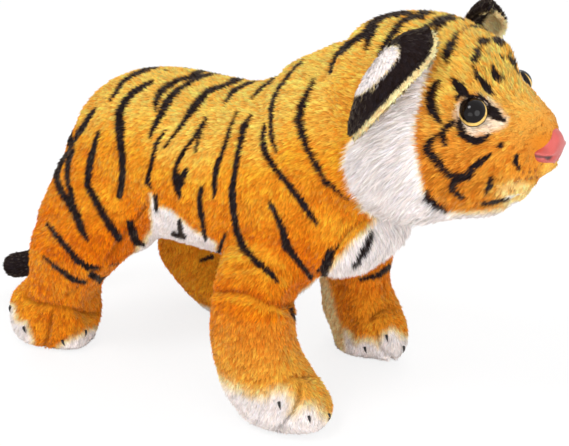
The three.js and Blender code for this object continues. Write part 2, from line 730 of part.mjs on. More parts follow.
// An ear: a cupped flap between a curved base line and a free rim, in two layers.
function earLayer(side, nearDepth, farDepth, overhang) {
  const tables = [EAR_BASE_SHARES, EAR_CROWN_SHARES, EAR_RIM_SHARES].map((rows) => smoothRows(rows));
  const rings = tables[0].map((_, row) => {
    const [base, crown, rim] = tables.map((table) => headPoint(table[row], side));
    const curve = new THREE.QuadraticBezierCurve3(base, crown, rim);
    const spine = new THREE.Vector3().subVectors(
      headPoint(EAR_RIM_SHARES[EAR_RIM_SHARES.length - 1], side), headPoint(EAR_RIM_SHARES[0], side),
    );
    const outside = [];
    const inside = [];
    for (let step = 0; step <= EAR_CROSS_STEPS; step += 1) {
      const along = step / EAR_CROSS_STEPS;
      const tangent = curve.getTangent(along);
      const normal = new THREE.Vector3().crossVectors(tangent, spine).normalize().multiplyScalar(side);
      const point = curve.getPoint(along).addScaledVector(tangent, step === EAR_CROSS_STEPS ? overhang : 0);
      outside.push(point.clone().addScaledVector(normal, farDepth));
      inside.unshift(point.clone().addScaledVector(normal, nearDepth));
    }
    return [...outside, ...inside];
  });
  return skinOver(rings, ringMiddle(rings[0]), ringMiddle(rings[rings.length - 1]));
}

function addEars() {
  for (const side of [-1, 1]) {
    const name = side > 0 ? "left" : "right";
    addPiece(`${name}_ear_back`, earLayer(side, 0, EAR_THICKNESS, 0), "black");
    addPiece(`${name}_ear_lining`, earLayer(side, -EAR_THICKNESS, -GAP, EAR_RIM_OVERHANG_LENGTH), "cream");
  }
}

function addLegs() {
  for (const leg of LEGS) {
    const shell = legForm(leg).intersect(ABOVE_GROUND).subtract(legHollow(leg, PILE_DEPTH, 0));
    const [footprint] = limbRings(leg, leg.rows.slice(-1), 0, LEG_SIDES);
    const toeSeam = ringMiddle(footprint).x + TOE_FRONT_SHARE * PAW_LENGTH;
    const toes = (edge) => boxBetween(
      new THREE.Vector3(toeSeam - edge, -WIDE, -WIDE), new THREE.Vector3(WIDE, WIDE, TOE_TOP_HEIGHT + edge),
    );
    const upper = shell.subtract(solePrism(leg, GAP));
    addPiece(`${leg.name}_leg_cover`, upper.subtract(toes(GAP)), "orange");
    addPiece(`${leg.name}_toes`, upper.intersect(toes(0)), "white");
    addPiece(`${leg.name}_sole`, shell.intersect(solePrism(leg, 0)), "white");
    addPiece(`${leg.name}_leg_stuffing`, legHollow(leg, PILE_DEPTH + GAP, HUB_NEAR_DEPTH), "fibre");
  }
}

// The oval under a paw, where its sole is sewn in.
function solePrism(leg, edge) {
  const [footprint] = limbRings(leg, leg.rows.slice(-1), 0, LEG_SIDES);
  const middle = ringMiddle(footprint);
  const layer = (height) => footprint.map((point) => {
    const spoke = new THREE.Vector3().subVectors(point, middle);
    const reach = spoke.length() * SOLE_SHARE + edge;
    return middle.clone().addScaledVector(spoke.normalize(), reach).setZ(height);
  });
  const top = PILE_DEPTH + GAP / 2;
  const heights = [-PILE_DEPTH, top];
  return skinOver(heights.map(layer), ...heights.map((height) => middle.clone().setZ(height)));
}

const TAIL_ROOT = torsoPoint(TAIL_ROOT_SHARES);
const TAIL_SPREAD = new THREE.Vector3(TAIL_BACK_LENGTH, TAIL_ASIDE_WIDTH, TAIL_FALL_HEIGHT);
const TAIL_CURVE = new THREE.CatmullRomCurve3(
  TAIL_ROUTE_SHARES.map((shares) => TAIL_ROOT.clone().sub(new THREE.Vector3(...shares).multiply(TAIL_SPREAD))),
);
const TAIL_MIDDLE = TAIL_CURVE.getPointAt(TAIL_MIDDLE_SHARE);

// Rings along part of the tail's route, which close in where they end at the tip.
function tailRings(fromShare, toShare, inset, sides) {
  const rings = [];
  const steps = Math.round((toShare - fromShare) * TAIL_STEPS);
  const radius = TAIL_RADIUS - inset;
  const ringAt = (along, size, beyond) => {
    const tangent = TAIL_CURVE.getTangentAt(along);
    const upward = new THREE.Vector3().crossVectors(tangent, LEFTWARD).normalize();
    const across = new THREE.Vector3().crossVectors(upward, tangent);
    const centre = TAIL_CURVE.getPointAt(along).addScaledVector(tangent, beyond);
    return ringAbout(centre, across, upward, size, size, sides);
  };
  for (let step = 0; step <= steps; step += 1) {
    rings.push(ringAt(fromShare + ((toShare - fromShare) * step) / steps, radius, 0));
  }
  if (toShare === 1) {
    for (const angle of [Math.PI / 6, Math.PI / 3]) {
      rings.push(ringAt(1, radius * Math.cos(angle), radius * Math.sin(angle)));
    }
  }
  return rings;
}

function tailTube(fromShare, toShare, inset, sides) {
  const rings = tailRings(fromShare, toShare, inset, sides);
  const beyond = toShare === 1 ? TAIL_RADIUS - inset : 0;
  const last = TAIL_CURVE.getPointAt(toShare).addScaledVector(TAIL_CURVE.getTangentAt(toShare), beyond);
  return skinOver(rings, TAIL_CURVE.getPointAt(fromShare), last);
}

function rootBall(radius, sides) {
  return ballAt(TAIL_ROOT, radius, LEFTWARD, sides);
}

// The socket that the tail's root turns in, and the room that the upper tail sweeps.
function tailSocket() {
  const rings = tailRings(0, TAIL_MIDDLE_SHARE / 2, -TAIL_CLEARANCE, TAIL_SIDES);
  return [-TAIL_DROP, 0, TAIL_LIFT_ROOM].reduce((sum, degrees) => {
    const turning = (point) => turnedPoint(point, TAIL_ROOT, LEFTWARD, degrees);
    const placed = rings.map((ring) => ring.map(turning));
    return sum.add(skinOver(placed, ringMiddle(placed[0]), ringMiddle(placed[placed.length - 1])));
  }, socketAt(TAIL_ROOT, TAIL_ROOT_BALL_RADIUS, LEFTWARD, TAIL_SIDES));
}

function addTail() {
  const radius = TAIL_RADIUS + TAIL_BALL_EXTRA_RADIUS;
  const ball = ballAt(TAIL_MIDDLE, radius, FORWARD, TAIL_SIDES);
  const socket = socketAt(TAIL_MIDDLE, radius, FORWARD, TAIL_SIDES);
  const upper = (inset, sides) => tailTube(0, TAIL_MIDDLE_SHARE, inset, sides)
    .add(rootBall(TAIL_ROOT_BALL_RADIUS - inset, inset > 0 ? FITTING_SIDES : TAIL_SIDES));
  const lower = (inset, sides) => tailTube(TAIL_MIDDLE_SHARE, 1, inset, sides);
  const upperShell = upper(0, TAIL_SIDES).subtract(upper(PILE_DEPTH, FITTING_SIDES));
  addPiece("tail_upper_cover", upperShell.subtract(socket), "orange");
  addPiece("tail_upper_stuffing", upper(PILE_DEPTH + GAP, FITTING_SIDES).subtract(socket), "fibre");
  const course = TAIL_CURVE.getTangentAt(TAIL_MIDDLE_SHARE);
  const bore = TAIL_RADIUS - PILE_DEPTH;
  const opened = rodAlong(TAIL_MIDDLE, course, -2 * radius, PILE_DEPTH, bore, TAIL_SIDES);
  const shell = lower(0, TAIL_SIDES).add(ball).subtract(lower(PILE_DEPTH, FITTING_SIDES)).subtract(opened);
  const seam = TAIL_CURVE.getPointAt(TAIL_TIP_SHARE);
  const tangent = TAIL_CURVE.getTangentAt(TAIL_TIP_SHARE);
  const beyond = (shift) => rodAlong(seam, tangent, shift, TAIL_CUT_RADIUS, TAIL_CUT_RADIUS, CORE_SIDES);
  addPiece("tail_lower_cover", shell.subtract(beyond(-GAP)), "orange");
  addPiece("tail_lower_stuffing", lower(PILE_DEPTH + GAP, FITTING_SIDES), "fibre");
  addPiece("tail_tip", shell.intersect(beyond(0)), "black");
}

addTorso();
addNeck();
addHead();
addEars();
addLegs();
addTail();

const bounds = new THREE.Box3().setFromObject(group);
const middle = bounds.getCenter(new THREE.Vector3());
group.position.set(-middle.x, -middle.y, 0);

export default group;
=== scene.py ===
"""A plush tiger: sewn plush skins stuffed firm, a short laid pile with its stripes, domed eyes and a moulded nose."""
import math

import bpy
import numpy as np
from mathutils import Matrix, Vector
from mathutils.bvhtree import BVHTree


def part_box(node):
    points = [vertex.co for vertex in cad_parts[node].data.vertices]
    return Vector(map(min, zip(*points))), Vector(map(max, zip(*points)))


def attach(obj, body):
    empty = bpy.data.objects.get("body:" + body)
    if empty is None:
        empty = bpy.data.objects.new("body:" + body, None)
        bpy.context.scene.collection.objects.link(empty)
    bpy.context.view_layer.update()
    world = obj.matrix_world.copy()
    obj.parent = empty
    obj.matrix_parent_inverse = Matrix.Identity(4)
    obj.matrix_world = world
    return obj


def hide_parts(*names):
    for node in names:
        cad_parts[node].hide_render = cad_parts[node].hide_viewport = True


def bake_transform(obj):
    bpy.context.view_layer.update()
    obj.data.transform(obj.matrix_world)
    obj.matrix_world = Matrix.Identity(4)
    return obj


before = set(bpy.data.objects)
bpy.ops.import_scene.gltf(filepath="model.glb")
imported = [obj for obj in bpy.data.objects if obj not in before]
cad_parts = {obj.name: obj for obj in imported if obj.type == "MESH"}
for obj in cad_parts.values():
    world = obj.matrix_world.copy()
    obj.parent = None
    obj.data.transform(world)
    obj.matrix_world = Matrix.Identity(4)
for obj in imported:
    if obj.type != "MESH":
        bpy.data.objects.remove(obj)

bl_info = {
    "name": "Plush Tiger",
    "version": (1, 0, 0),
    "blender": (4, 5, 0),
    "location": "View3D > Sidebar > Tiger",
    "description": "Builds the looks of a stuffed plush tiger over its frame",
    "category": "Object",
}

SEED = 7
MM = 0.001
# How far outside every drawn line a place counts that is near none of them.
OUTSIDE = -99.0
SIDES = ((-1, "right"), (1, "left"))
LEGS = ("right_front_leg", "left_front_leg", "right_hind_leg", "left_hind_leg")

# ---------------------------------------------------------------- the forms, in millimetres from the body's middle
TORSO_REAR, TORSO_LENGTH, TORSO_HEIGHT, TORSO_WIDTH = -154.0, 275.0, 230.0, 124.0
HEAD_REAR, HEAD_LENGTH, HEAD_BASE, HEAD_HEIGHT, HEAD_WIDTH = 78.0, 146.0, 165.0, 122.0, 124.0
LEG_HEIGHT, PAW_LENGTH, PAW_WIDTH = 140.0, 86.0, 57.0
NEAR_STANCE, FAR_STANCE = 54.0, 70.0
FRONT_PIVOT_X, HIND_PIVOT_X = 47.0, -92.0
NECK = np.array([80.0, 0.0, 200.0])
NECK_SLOPE = np.array([0.6, 0.0, 0.8])
NECK_RADIUS = 59.0
TOE_IN, ANKLE_HEIGHT = 16.0, 0.43
FULLNESS = 2.2
LEG_BORDER, LEG_BEND_END = 90.0, 46.0
# The front legs stand ahead of this place, and the hind legs behind it.
LEGS_PARTED = -20.0

# Place along, top, bottom and half width of each row, as shares.
TORSO_ROWS = [
    [0.02, 0.72, 0.55, 0.2], [0.06, 0.8, 0.48, 0.33], [0.12, 0.885, 0.44, 0.41], [0.21, 0.935, 0.425, 0.465],
    [0.32, 0.96, 0.42, 0.49], [0.44, 0.96, 0.425, 0.5], [0.57, 0.967, 0.425, 0.49], [0.675, 0.995, 0.43, 0.483],
    [0.78, 0.995, 0.44, 0.475], [0.87, 0.87, 0.455, 0.44], [0.94, 0.77, 0.49, 0.37], [0.98, 0.69, 0.55, 0.23],
]
HEAD_ROWS = [
    [0.03, 0.78, 0.42, 0.19], [0.08, 0.89, 0.25, 0.34], [0.18, 0.97, 0.06, 0.445], [0.3, 1, -0.03, 0.495],
    [0.425, 1, -0.045, 0.5], [0.54, 0.965, -0.03, 0.475], [0.645, 0.91, 0.01, 0.43], [0.73, 0.83, 0.03, 0.365],
    [0.81, 0.72, 0.085, 0.305], [0.875, 0.645, 0.18, 0.255], [0.93, 0.6, 0.27, 0.21], [0.97, 0.545, 0.34, 0.145],
]
# Height, forward, outward, half length and half width of each row of a leg.
FRONT_LEG_ROWS = [
    [0.96, -0.036, 0.78, 0.2, 0.26], [0.88, -0.05, 0.84, 0.32, 0.38], [0.714, -0.055, 0.92, 0.37, 0.45],
    [0.536, -0.06, 0.98, 0.365, 0.455], [0.393, -0.02, 1, 0.38, 0.46], [0.3, 0.05, 1, 0.42, 0.465],
    [0.2, 0.12, 1, 0.465, 0.475], [0.11, 0.18, 1, 0.46, 0.465], [0.035, 0.19, 0.99, 0.4, 0.4],
    [-0.004, 0.19, 0.98, 0.34, 0.31],
]
HIND_LEG_ROWS = [
    [1.14, -0.03, 0.76, 0.24, 0.24], [1, -0.012, 0.8, 0.4, 0.38], [0.843, -0.06, 0.86, 0.48, 0.46],
    [0.7, -0.16, 0.92, 0.45, 0.48], [0.557, -0.3, 0.96, 0.37, 0.465], [0.43, -0.44, 0.93, 0.335, 0.45],
    [0.32, -0.55, 0.9, 0.4, 0.455], [0.23, -0.63, 0.88, 0.455, 0.47], [0.13, -0.66, 0.87, 0.46, 0.47],
    [0.04, -0.65, 0.87, 0.41, 0.4], [-0.004, -0.65, 0.87, 0.35, 0.31],
]
STEPPING_FORWARD = [-0.01, 0.01, -0.03, -0.1, -0.17, -0.15, -0.06, 0.1, 0.22, 0.3, 0.32]
TAIL_POINTS = [(-140, 0, 172), (-160, 1, 146), (-172, 3, 116), (-182, 4, 84), (-196, 1, 53), (-215, -5, 33),
               (-238, -10, 23.5)]
TAIL_MIDDLE, TAIL_ALONG = np.array([-179.0, 3.0, 96.4]), np.array([-0.3, 0.0, -0.95])
TAIL_RADIUS, TAIL_CAP_ANGLES = 12.0, (30, 55, 75)
# Along the head's length, out by its width and up its height: base line, crown and free rim of an ear.
EAR_BASE = [[0.5, 0.29, 0.985], [0.43, 0.34, 0.93], [0.38, 0.38, 0.87], [0.315, 0.46, 0.73], [0.285, 0.52, 0.56]]
EAR_CROWN = [[0.51, 0.31, 1.03], [0.445, 0.43, 1.055], [0.395, 0.5, 0.99], [0.335, 0.58, 0.79], [0.295, 0.555, 0.55]]
EAR_RIM = [[0.545, 0.34, 0.975], [0.56, 0.43, 0.91], [0.525, 0.54, 0.83], [0.425, 0.61, 0.67], [0.31, 0.56, 0.52]]
EAR_SPREAD = np.array([1.1, 0.2, -0.95])
# Name, near face and far face of each layer of an ear, and the steps from its base to its rim.
EAR_LAYERS, EAR_STEPS = (("back", 0.2, 2.6), ("lining", -2.6, -0.1)), 12
# How far the lining's rim stands out of the back's, and how the far ear sits: its base and crown, and its rim.
LINING_SPREAD, BACK_SPREAD = 1.2, -1.0
FAR_EAR_BASE, FAR_EAR_RIM = (3, 1.5, 0), (-1, 0.5, 0)
EYE_CENTRE, EYE_FACING, EYE_RADIUS = np.array([181.5, 36.5, 244.7]), np.array([0.421, 0.832, 0.361]), 8.5
EYE_SUNK = 3.4
NOSE_CENTRE, NOSE_RADII = np.array([213.0, 0.0, 218.6]), np.array([9.4, 16.5, 12.6])
EYES = [EYE_CENTRE * (1, side, 1) for side, _ in SIDES]
# No pile grows inside these: the eye's in millimetres, the nose's as a share of its radii.
EYE_CLEARING, NOSE_CLEARING = EYE_RADIUS - 0.4, 0.9
# The black pupil's radius and where the gold begins and ends round it, and how far the pupil looks aside.
PUPIL_RADIUS, GOLD_START, GOLD_RADIUS = 7.15, 7.4, 7.95
PUPIL_ASIDE, PUPIL_WAY = 0.9, np.array([-0.5, 0.0, 1.0])
DOME_ANGLE, DOME_STEPS, EYE_TURNS = 100, 27, 56
# Radius and height of the corners of the eye's rim, back and post.
EYE_POST = [(7.6, -2.1), (6.8, -2.4), (2.2, -2.4), (2.0, -2.9), (2.0, -7.0), (1.6, -7.6), (0.0, -7.6)]
# Where the stuffing is worked by hand: a place, how far round it and the move; then the same on both sides.
WORKED = [
    ((-104, -50, 36), 24, (-8, 0, 0)), ((-112, -44, 10), 18, (-5, 0, 0)), ((-64, -56, 104), 16, (-4, 0, 3)),
    ((-164, -68, 42), 24, (-9, -2, 0)), ((-158, -74, 12), 20, (-6, -4, 0)), ((-95, -8, 210), 42, (-1, 0, 2.5)),
    ((-131, -57, 150), 26, (13, 4, 0)), ((-146, -40, 158), 24, (6, 0, 0)), ((-140, -62, 98), 24, (-12, -2, 0)),
    ((-148, -65, 74), 22, (-8, -2, 0)), ((-70, 34, 8), 18, (8, 7, 1)), ((-110, -40, 42), 22, (-5, 0, 0)),
    ((-117, -42, 12), 18, (-4, 0, 0)), ((98, 0, 276), 26, (-1, 0, 0.8)), ((79, 0, 260), 17, (-2, 0, 4.5)),
    ((22, 2, 222), 20, (0, 0, 4)), ((40, -2, 232), 18, (0, 0, 4.5)), ((-108, 42, 44), 20, (-6, -1, 0)),
    ((-84, 52, 10), 30, (9, 9, 0)), ((28, -73, 59), 34, (-3.5, 0, 0)), ((76, -46, 66), 24, (-3.5, 0, 0)),
    ((84, -36, 38), 16, (-3, 0, 0)), ((100, -42, 20), 20, (-3, 0, 0)), ((76, -48, 97), 14, (-8, 0, 2)),
    ((69, -36, 93), 13, (-5, 0, 6)), ((102, 30, 118), 24, (4, 1, 0)), ((35, 47, 60), 20, (12, 4, 0)),
    ((48, 45, 26), 20, (12, 4, 0)), ((40, 46, 82), 20, (3, 1, 0)), ((20, 57, 78), 24, (7, 1, 0)),
    ((20, 57, 42), 24, (5.5, 1, 0)), ((24, 56, 10), 22, (4.5, 2, 0)), ((-149, -48, 134), 18, (7, 1, 0)),
    ((80, 44, 8), 24, (0, 10, 1)), ((100, 67, 20), 16, (-2, 0, 0)), ((78, 73, 86), 26, (9, 0, 0)),
    ((42, -74, 18), 14, (2, 1, 0)),
]
WORKED_TWICE = [
    ((180, 26, 176), 18, (0, 0, 2)), ((202, 12, 181), 14, (0, 0, 3.5)), ((214, 4, 187), 12, (-1.5, 0, 2.5)),
    ((222, 5, 203), 13, (0.9, 0, 0)), ((188, 20, 255), 14, (-4, -2.5, -1)), ((182, 38, 246), 15, (-1, -2.5, -1)),
    ((178, 16, 270), 12, (1.5, 1, 1)), ((200, 24, 222), 12, (0, 1.5, 1)), ((217, 17, 222), 10, (-5.5, -1.5, 0)),
]
# Lumps of stuffing: height and radius of each leg's hub, then names, places, radii and turns in degrees.
HUB_OUT, HUBS = 34, {True: (112, 30), False: (122, 38)}
SIDE_SWELLS = [("haunch_form", (-119, 41, 127), (40, 27, 46), (0, 6, 0)),
               ("muzzle_form", (195, 16, 206), (23, 19, 17), (0, 0, 0)),
               ("cheek_form", (150, 40, 205), (30, 20, 34), (0, 0, 0))]
MIDDLE_SWELLS = [("chin_form", (193, 0, 188), (18, 18, 11)), ("nape_form", (38, 0, 188), (42, 36, 42))]
# How many sides the forms have, and how many steps lie between two rows or points of their tables.
FORM_SIDES, LEG_SIDES, TAIL_SIDES, ROW_STEPS, CURVE_STEPS = 40, 32, 24, 3, 6
# The skin's grain, how strongly and how often it is evened, and how far it stays off the ground.
VOXEL, EVENING, EVENING_ROUNDS, GROUND_GAP = 3.2, 0.6, 8, 0.6
# The cloth that is stuffed: its stiffness, the pressure, the moments of the simulation and the most that it swells.
STRETCH_STIFFNESS, BENDING_STIFFNESS, PRESSURE, MOMENTS, MOST_SWELL = 12, 3, 4, 20, 2.2
HELD_LEVELS = 10
SOCKET_DEPTH, SOCKET_RADIUS = 2.6, 9.5

# ---------------------------------------------------------------- the photograph's view, where the markings are drawn
PHOTO_WIDTH, SENSOR_WIDTH = 569, 36
VIEW_TURN, VIEW_RISE, VIEW_DISTANCE, FOCAL = math.radians(33.2), math.radians(24.2), 759.4, 1080.0
VIEW_TARGET, VIEW_MIDDLE = np.array([30.9, 0.0, 125.6]), (284.5, 223.0)
TO_CAMERA = np.array([math.sin(VIEW_TURN) * math.cos(VIEW_RISE), -math.cos(VIEW_TURN) * math.cos(VIEW_RISE),
                      math.sin(VIEW_RISE)])
CAMERA_RIGHT = np.array([math.cos(VIEW_TURN), math.sin(VIEW_TURN), 0])
CAMERA_UP = np.cross(TO_CAMERA, CAMERA_RIGHT)
CAMERA_PLACE = VIEW_TARGET + TO_CAMERA * VIEW_DISTANCE

# Each stripe is a line of places in that view, with the stripe's width at each.
NECK_STRIPES = [
    [(303, 62, 1), (292, 73, 2), (280, 88, 2.5), (275, 98, 2.5), (272, 110, 3), (272, 122, 3), (272, 138, 3),
     (277, 152, 1)],
    [(315, 79, 1.5), (308, 92, 3.5), (302, 107, 6), (299, 120, 7), (302, 133, 6), (308, 150, 5), (318, 167, 5),
     (325, 181, 4), (335, 189, 3), (349, 199, 1)],
    [(411, 14, 3), (397, 15, 5), (383, 18, 5), (372, 27, 7), (365, 35, 5), (350, 45, 5), (338, 55, 5), (332, 65, 3),
     (330, 74, 2)],
    [(375, 28, 7), (370, 38, 6), (366, 50, 2)],
    [(424, 18, 3), (412, 18, 4), (402, 23, 5), (395, 33, 6), (388, 43, 6), (380, 55, 4)],
]
HAUNCH_STRIPES = [
    [(48, 224, 1.5), (55, 233, 4), (67, 247, 5), (77, 260, 5), (88, 267, 5), (100, 267, 1.5)],
    [(130, 223, 6), (133, 233, 8), (136, 242, 6), (143, 244, 3)],
]
SHOULDER_STRIPE = [(226, 233, 1.5), (221, 246, 3), (216, 262, 3), (214, 270, 1)]
TORSO_STRIPES = NECK_STRIPES + HAUNCH_STRIPES + [
    SHOULDER_STRIPE,
    [(163, 66, 1.5), (147, 71, 2), (133, 76, 3), (122, 84, 3), (116, 93, 2.5), (110, 101, 1)],
    [(153, 82, 2), (144, 87, 4), (135, 92, 5), (126, 101, 5.5), (120, 112, 7), (120, 125, 8.5), (121, 142, 6.5),
     (123, 158, 5.5), (123, 175, 5.5), (120, 197, 5)],
    [(207, 76, 4), (197, 77, 2.5), (180, 80, 3), (167, 87, 5), (159, 95, 6), (156, 103, 4), (156, 111, 1.5)],
    [(203, 77, 3), (188, 84, 3), (177, 91, 5), (167, 103, 7), (160, 117, 6), (154, 128, 4), (150, 137, 2)],
    [(164, 70, 2), (171, 69, 4), (182, 71, 4), (193, 70, 1)],
    [(257, 80, 1.5), (240, 82, 2), (223, 87, 3), (208, 92, 5), (198, 103, 7), (191, 112, 6), (184, 122, 3),
     (173, 137, 1.5), (164, 148, 1)],
    [(255, 82, 1.5), (243, 87, 2), (233, 92, 4), (229, 98, 3), (225, 103, 1)],
    [(275, 79, 1), (265, 86, 1.8), (258, 92, 1.8), (252, 99, 1)],
    [(265, 124, 1.5), (263, 137, 4), (265, 152, 5), (273, 165, 5), (285, 180, 5), (297, 195, 5), (305, 207, 6),
     (316, 223, 3)],
    [(251, 117, 2), (244, 127, 6), (242, 137, 5), (238, 153, 4), (236, 170, 4.5), (233, 187, 5), (233, 198, 6),
     (234, 210, 5.5), (237, 230, 5.5), (243, 248, 6), (254, 260, 5), (268, 272, 5), (278, 282, 2)],
    [(237, 113, 1), (231, 127, 2), (226, 142, 3), (222, 155, 3), (217, 167, 5), (215, 182, 4), (215, 192, 3),
     (214, 198, 1)],
    [(207, 118, 1.5), (202, 127, 4), (195, 137, 3), (187, 147, 2.5), (180, 158, 3), (176, 168, 3.5), (176, 175, 6),
     (179, 180, 12), (178, 188, 6), (180, 197, 1)],
    [(202, 128, 2), (198, 142, 2), (195, 152, 1.5)],
    [(187, 170, 3), (183, 176, 6)],
    [(202, 187, 3), (200, 198, 4), (201, 210, 4), (203, 222, 4), (206, 239, 2)],
    [(165, 131, 1), (157, 143, 3), (153, 158, 2.5), (150, 172, 3), (148, 183, 4), (152, 188, 1)],
    [(156, 196, 3), (157, 210, 2.5)],
    [(180, 221, 3), (181, 233, 5)], [(174, 233, 4), (184, 236, 4)],
    [(96, 109, 1.5), (90, 117, 4), (84, 127, 4), (77, 136, 5), (70, 147, 5), (63, 160, 5), (58, 172, 5),
     (58, 180, 5), (62, 192, 6), (72, 205, 8), (78, 217, 7), (82, 230, 6), (88, 240, 2)],
    [(74, 150, 3), (69, 162, 4), (68, 180, 4), (71, 190, 4), (74, 202, 3)],
    [(99, 133, 2), (96, 143, 4), (92, 157, 5), (89, 172, 6), (88, 185, 5.5), (93, 195, 6), (102, 212, 6),
     (110, 225, 7), (119, 238, 6)],
    [(270, 202, 2.5), (276, 214, 4), (283, 230, 6), (287, 246, 8), (296, 258, 5), (310, 276, 4)],
    [(331, 252, 7), (327, 262, 9), (324, 274, 4)], [(338, 246, 2), (329, 257, 2), (318, 270, 2)],
    [(371, 233, 3), (365, 248, 6), (354, 264, 4)],
]
HIND_STRIPES = [
    [(44, 256, 1.5), (55, 266, 3), (65, 273, 4), (73, 279, 5), (85, 282, 2)],
    [(105, 260, 3), (110, 262, 5), (117, 262, 2)],
    [(92, 274, 6), (100, 280, 5), (109, 276, 2)],
    [(72, 205, 8), (78, 217, 7), (82, 230, 6), (88, 240, 2)],
    [(102, 212, 6), (110, 225, 7), (119, 238, 6)],
    *HAUNCH_STRIPES,
]
FRONT_STRIPES = [
    [(254, 260, 5), (268, 272, 5), (278, 282, 2)],
    [(296, 258, 5), (310, 276, 4)],
    SHOULDER_STRIPE,
    [(260, 298, 2), (265, 306, 3)], [(279, 306, 3), (286, 305, 2)], [(291, 310, 2), (294, 320, 1)],
    [(324, 268, 4), (322, 276, 2)],
]
FAR_FRONT_STRIPES = [[(360, 279, 2), (376, 276, 4), (390, 266, 4), (400, 257, 2)]]
FAR_HIND_STRIPES = [[(201, 261, 2), (212, 257, 3)]]
LEG_STRIPES = {"front": (FRONT_STRIPES, FAR_FRONT_STRIPES), "hind": (HIND_STRIPES, FAR_HIND_STRIPES)}
HEAD_STRIPES = NECK_STRIPES + [
    [(458, 32, 1.5), (455, 38, 4.5), (450, 48, 8), (446, 55, 8), (446, 63, 1)],
    [(480, 37, 2), (482, 42, 8), (487, 43, 4), (493, 41, 3)],
    [(480, 49, 2), (477, 55, 6), (472, 60, 4)], [(477, 55, 4), (476, 61, 2)],
    [(473, 67, 1.5), (477, 77, 3), (483, 83, 5), (487, 90, 7), (491, 93, 3)],
    [(492, 66, 2), (493, 72, 6), (497, 77, 7), (504, 77, 2)],
    [(453, 80, 3), (458, 87, 8), (463, 92, 8), (468, 95, 2)], [(460, 92, 6), (457, 98, 3)],
    [(459, 88, 5), (462, 84, 2)],
    [(438, 82, 3), (433, 90, 7), (430, 100, 8), (432, 110, 8), (437, 118, 5), (440, 123, 2)],
    [(452, 123, 4), (446, 127, 5), (442, 133, 6), (443, 140, 5), (445, 145, 2)],
    [(435, 136, 3), (429, 142, 6), (427, 150, 8), (435, 158, 7), (442, 168, 6), (450, 175, 6), (458, 178, 8),
     (468, 175, 6), (473, 167, 5.5), (482, 160, 5), (491, 154, 1.5)],
    [(455, 180, 7), (451, 187, 6), (455, 193, 5), (464, 198, 1.5)],
    [(491, 177, 2), (489, 184, 5), (486, 193, 1.5)],
    [(517, 156, 2), (515, 162, 4.5), (519, 169, 2)],
    [(501, 145, 4), (500, 146, 4)],
    [(427, 191, 2), (427, 198, 6), (435, 205, 5), (445, 209, 3)],
    [(483, 203, 3), (493, 202, 3), (507, 199, 1.5)],
    [(458, 133, 2), (465, 137, 6), (475, 141, 6.5), (483, 139, 5), (488, 136, 2)],
    [(488, 106, 4), (490, 110, 9), (493, 113, 11), (498, 117, 7), (504, 121, 2)],
    [(459, 119, 3), (459, 126, 6), (463, 132, 5)],
    [(461, 105, 1.5), (464, 99, 2), (472, 95.5, 2.4), (480, 97, 2.6), (487, 103, 3)],
    [(421, 32, 3), (432, 25, 4), (440, 20, 7), (449, 17, 9), (459, 19, 6)],
    [(435, 33, 4), (439, 27, 4), (445, 23, 4)],
    [(427, 12, 3), (430, 13, 3)],
]
FAR_HEAD_STRIPES = [
    [(493, 41, 3), (498, 42, 7), (502, 45, 3)], [(498, 57, 2), (501, 58, 2)], [(497, 62, 3), (499, 63, 3)],
    [(507, 57, 1.5), (512, 64, 2.5)], [(513, 61, 1.5), (515, 64, 1.5)],
]
BROWN_MARKS = [
    [(460, 27, 2), (467, 25, 3), (477, 24, 2.5), (482, 25, 1.5)], [(463, 28, 2), (463, 32, 3)],
    [(519, 178, 2.4), (519, 179, 2.4)], [(526, 178, 2.4), (526, 179, 2.4)], [(530, 171, 2.4), (530, 172, 2.4)],
    [(535, 170, 2.2), (535, 171, 2.2)], [(531, 177, 2.2), (531, 178, 2.2)], [(523, 172, 2.2), (523, 173, 2.2)],
    [(537, 177, 2), (537, 178, 2)], [(515, 181, 2), (515, 182, 2)],
]
# Outlines in the same view.
RUFF_OUTLINE = [(349, 150), (345, 165), (351, 187), (361, 200), (377, 217), (400, 222), (460, 222), (449, 212),
                (430, 203), (423, 190), (418, 161), (414, 139), (415, 126), (420, 103), (426, 82), (433, 59),
                (430, 48), (418, 60), (400, 82), (375, 110), (354, 140)]
CHEST_OUTLINE = [(361, 200), (380, 219), (368, 232), (350, 249), (331, 270), (320, 284), (360, 300), (470, 300),
                 (470, 215), (400, 205)]
BELLY_OUTLINE = [(151, 194), (157, 207), (172, 210), (186, 222), (198, 232), (208, 238), (218, 243), (215, 254),
                 (200, 262), (152, 262), (152, 240)]
CHIN_OUTLINE = [(440, 216), (452, 213), (470, 213), (486, 211), (505, 208), (520, 205), (530, 202), (560, 215),
                (500, 250), (430, 240)]
LIP_OUTLINE = [(546, 161), (556, 163), (570, 150), (572, 178), (548, 182), (541, 174)]
EYE_PATCH = [(455, 116), (457, 106), (463, 99), (476, 96), (487, 99), (496, 106), (507, 119), (503, 126),
             (490, 131), (478, 135), (465, 132), (457, 125)]
FRONT_PAW_OUTLINE = [(208, 376), (222, 385), (235, 393), (250, 399), (266, 401), (275, 396), (284, 396), (289, 403),
                     (286, 414), (294, 418), (303, 410), (313, 410), (319, 419), (329, 424), (340, 440), (250, 450),
                     (205, 420)]
HIND_PAW_OUTLINES = [[(2, 300), (13, 306), (16, 322), (26, 324), (31, 337), (34, 358), (0, 358)],
                     [(56, 358), (60, 347), (70, 341), (80, 336), (88, 331), (97, 330), (108, 333), (104, 358)]]
FAR_PAW_OUTLINE = [(345, 332), (356, 345), (363, 341), (373, 342), (378, 348), (383, 337), (392, 331), (400, 338),
                   (410, 340), (412, 370), (345, 370)]
EAR_PATCH = [(397, 46), (399, 54), (394, 64), (386, 73), (379, 81), (371, 88), (361, 95), (350, 97), (352, 86),
             (362, 70), (372, 57), (383, 48)]
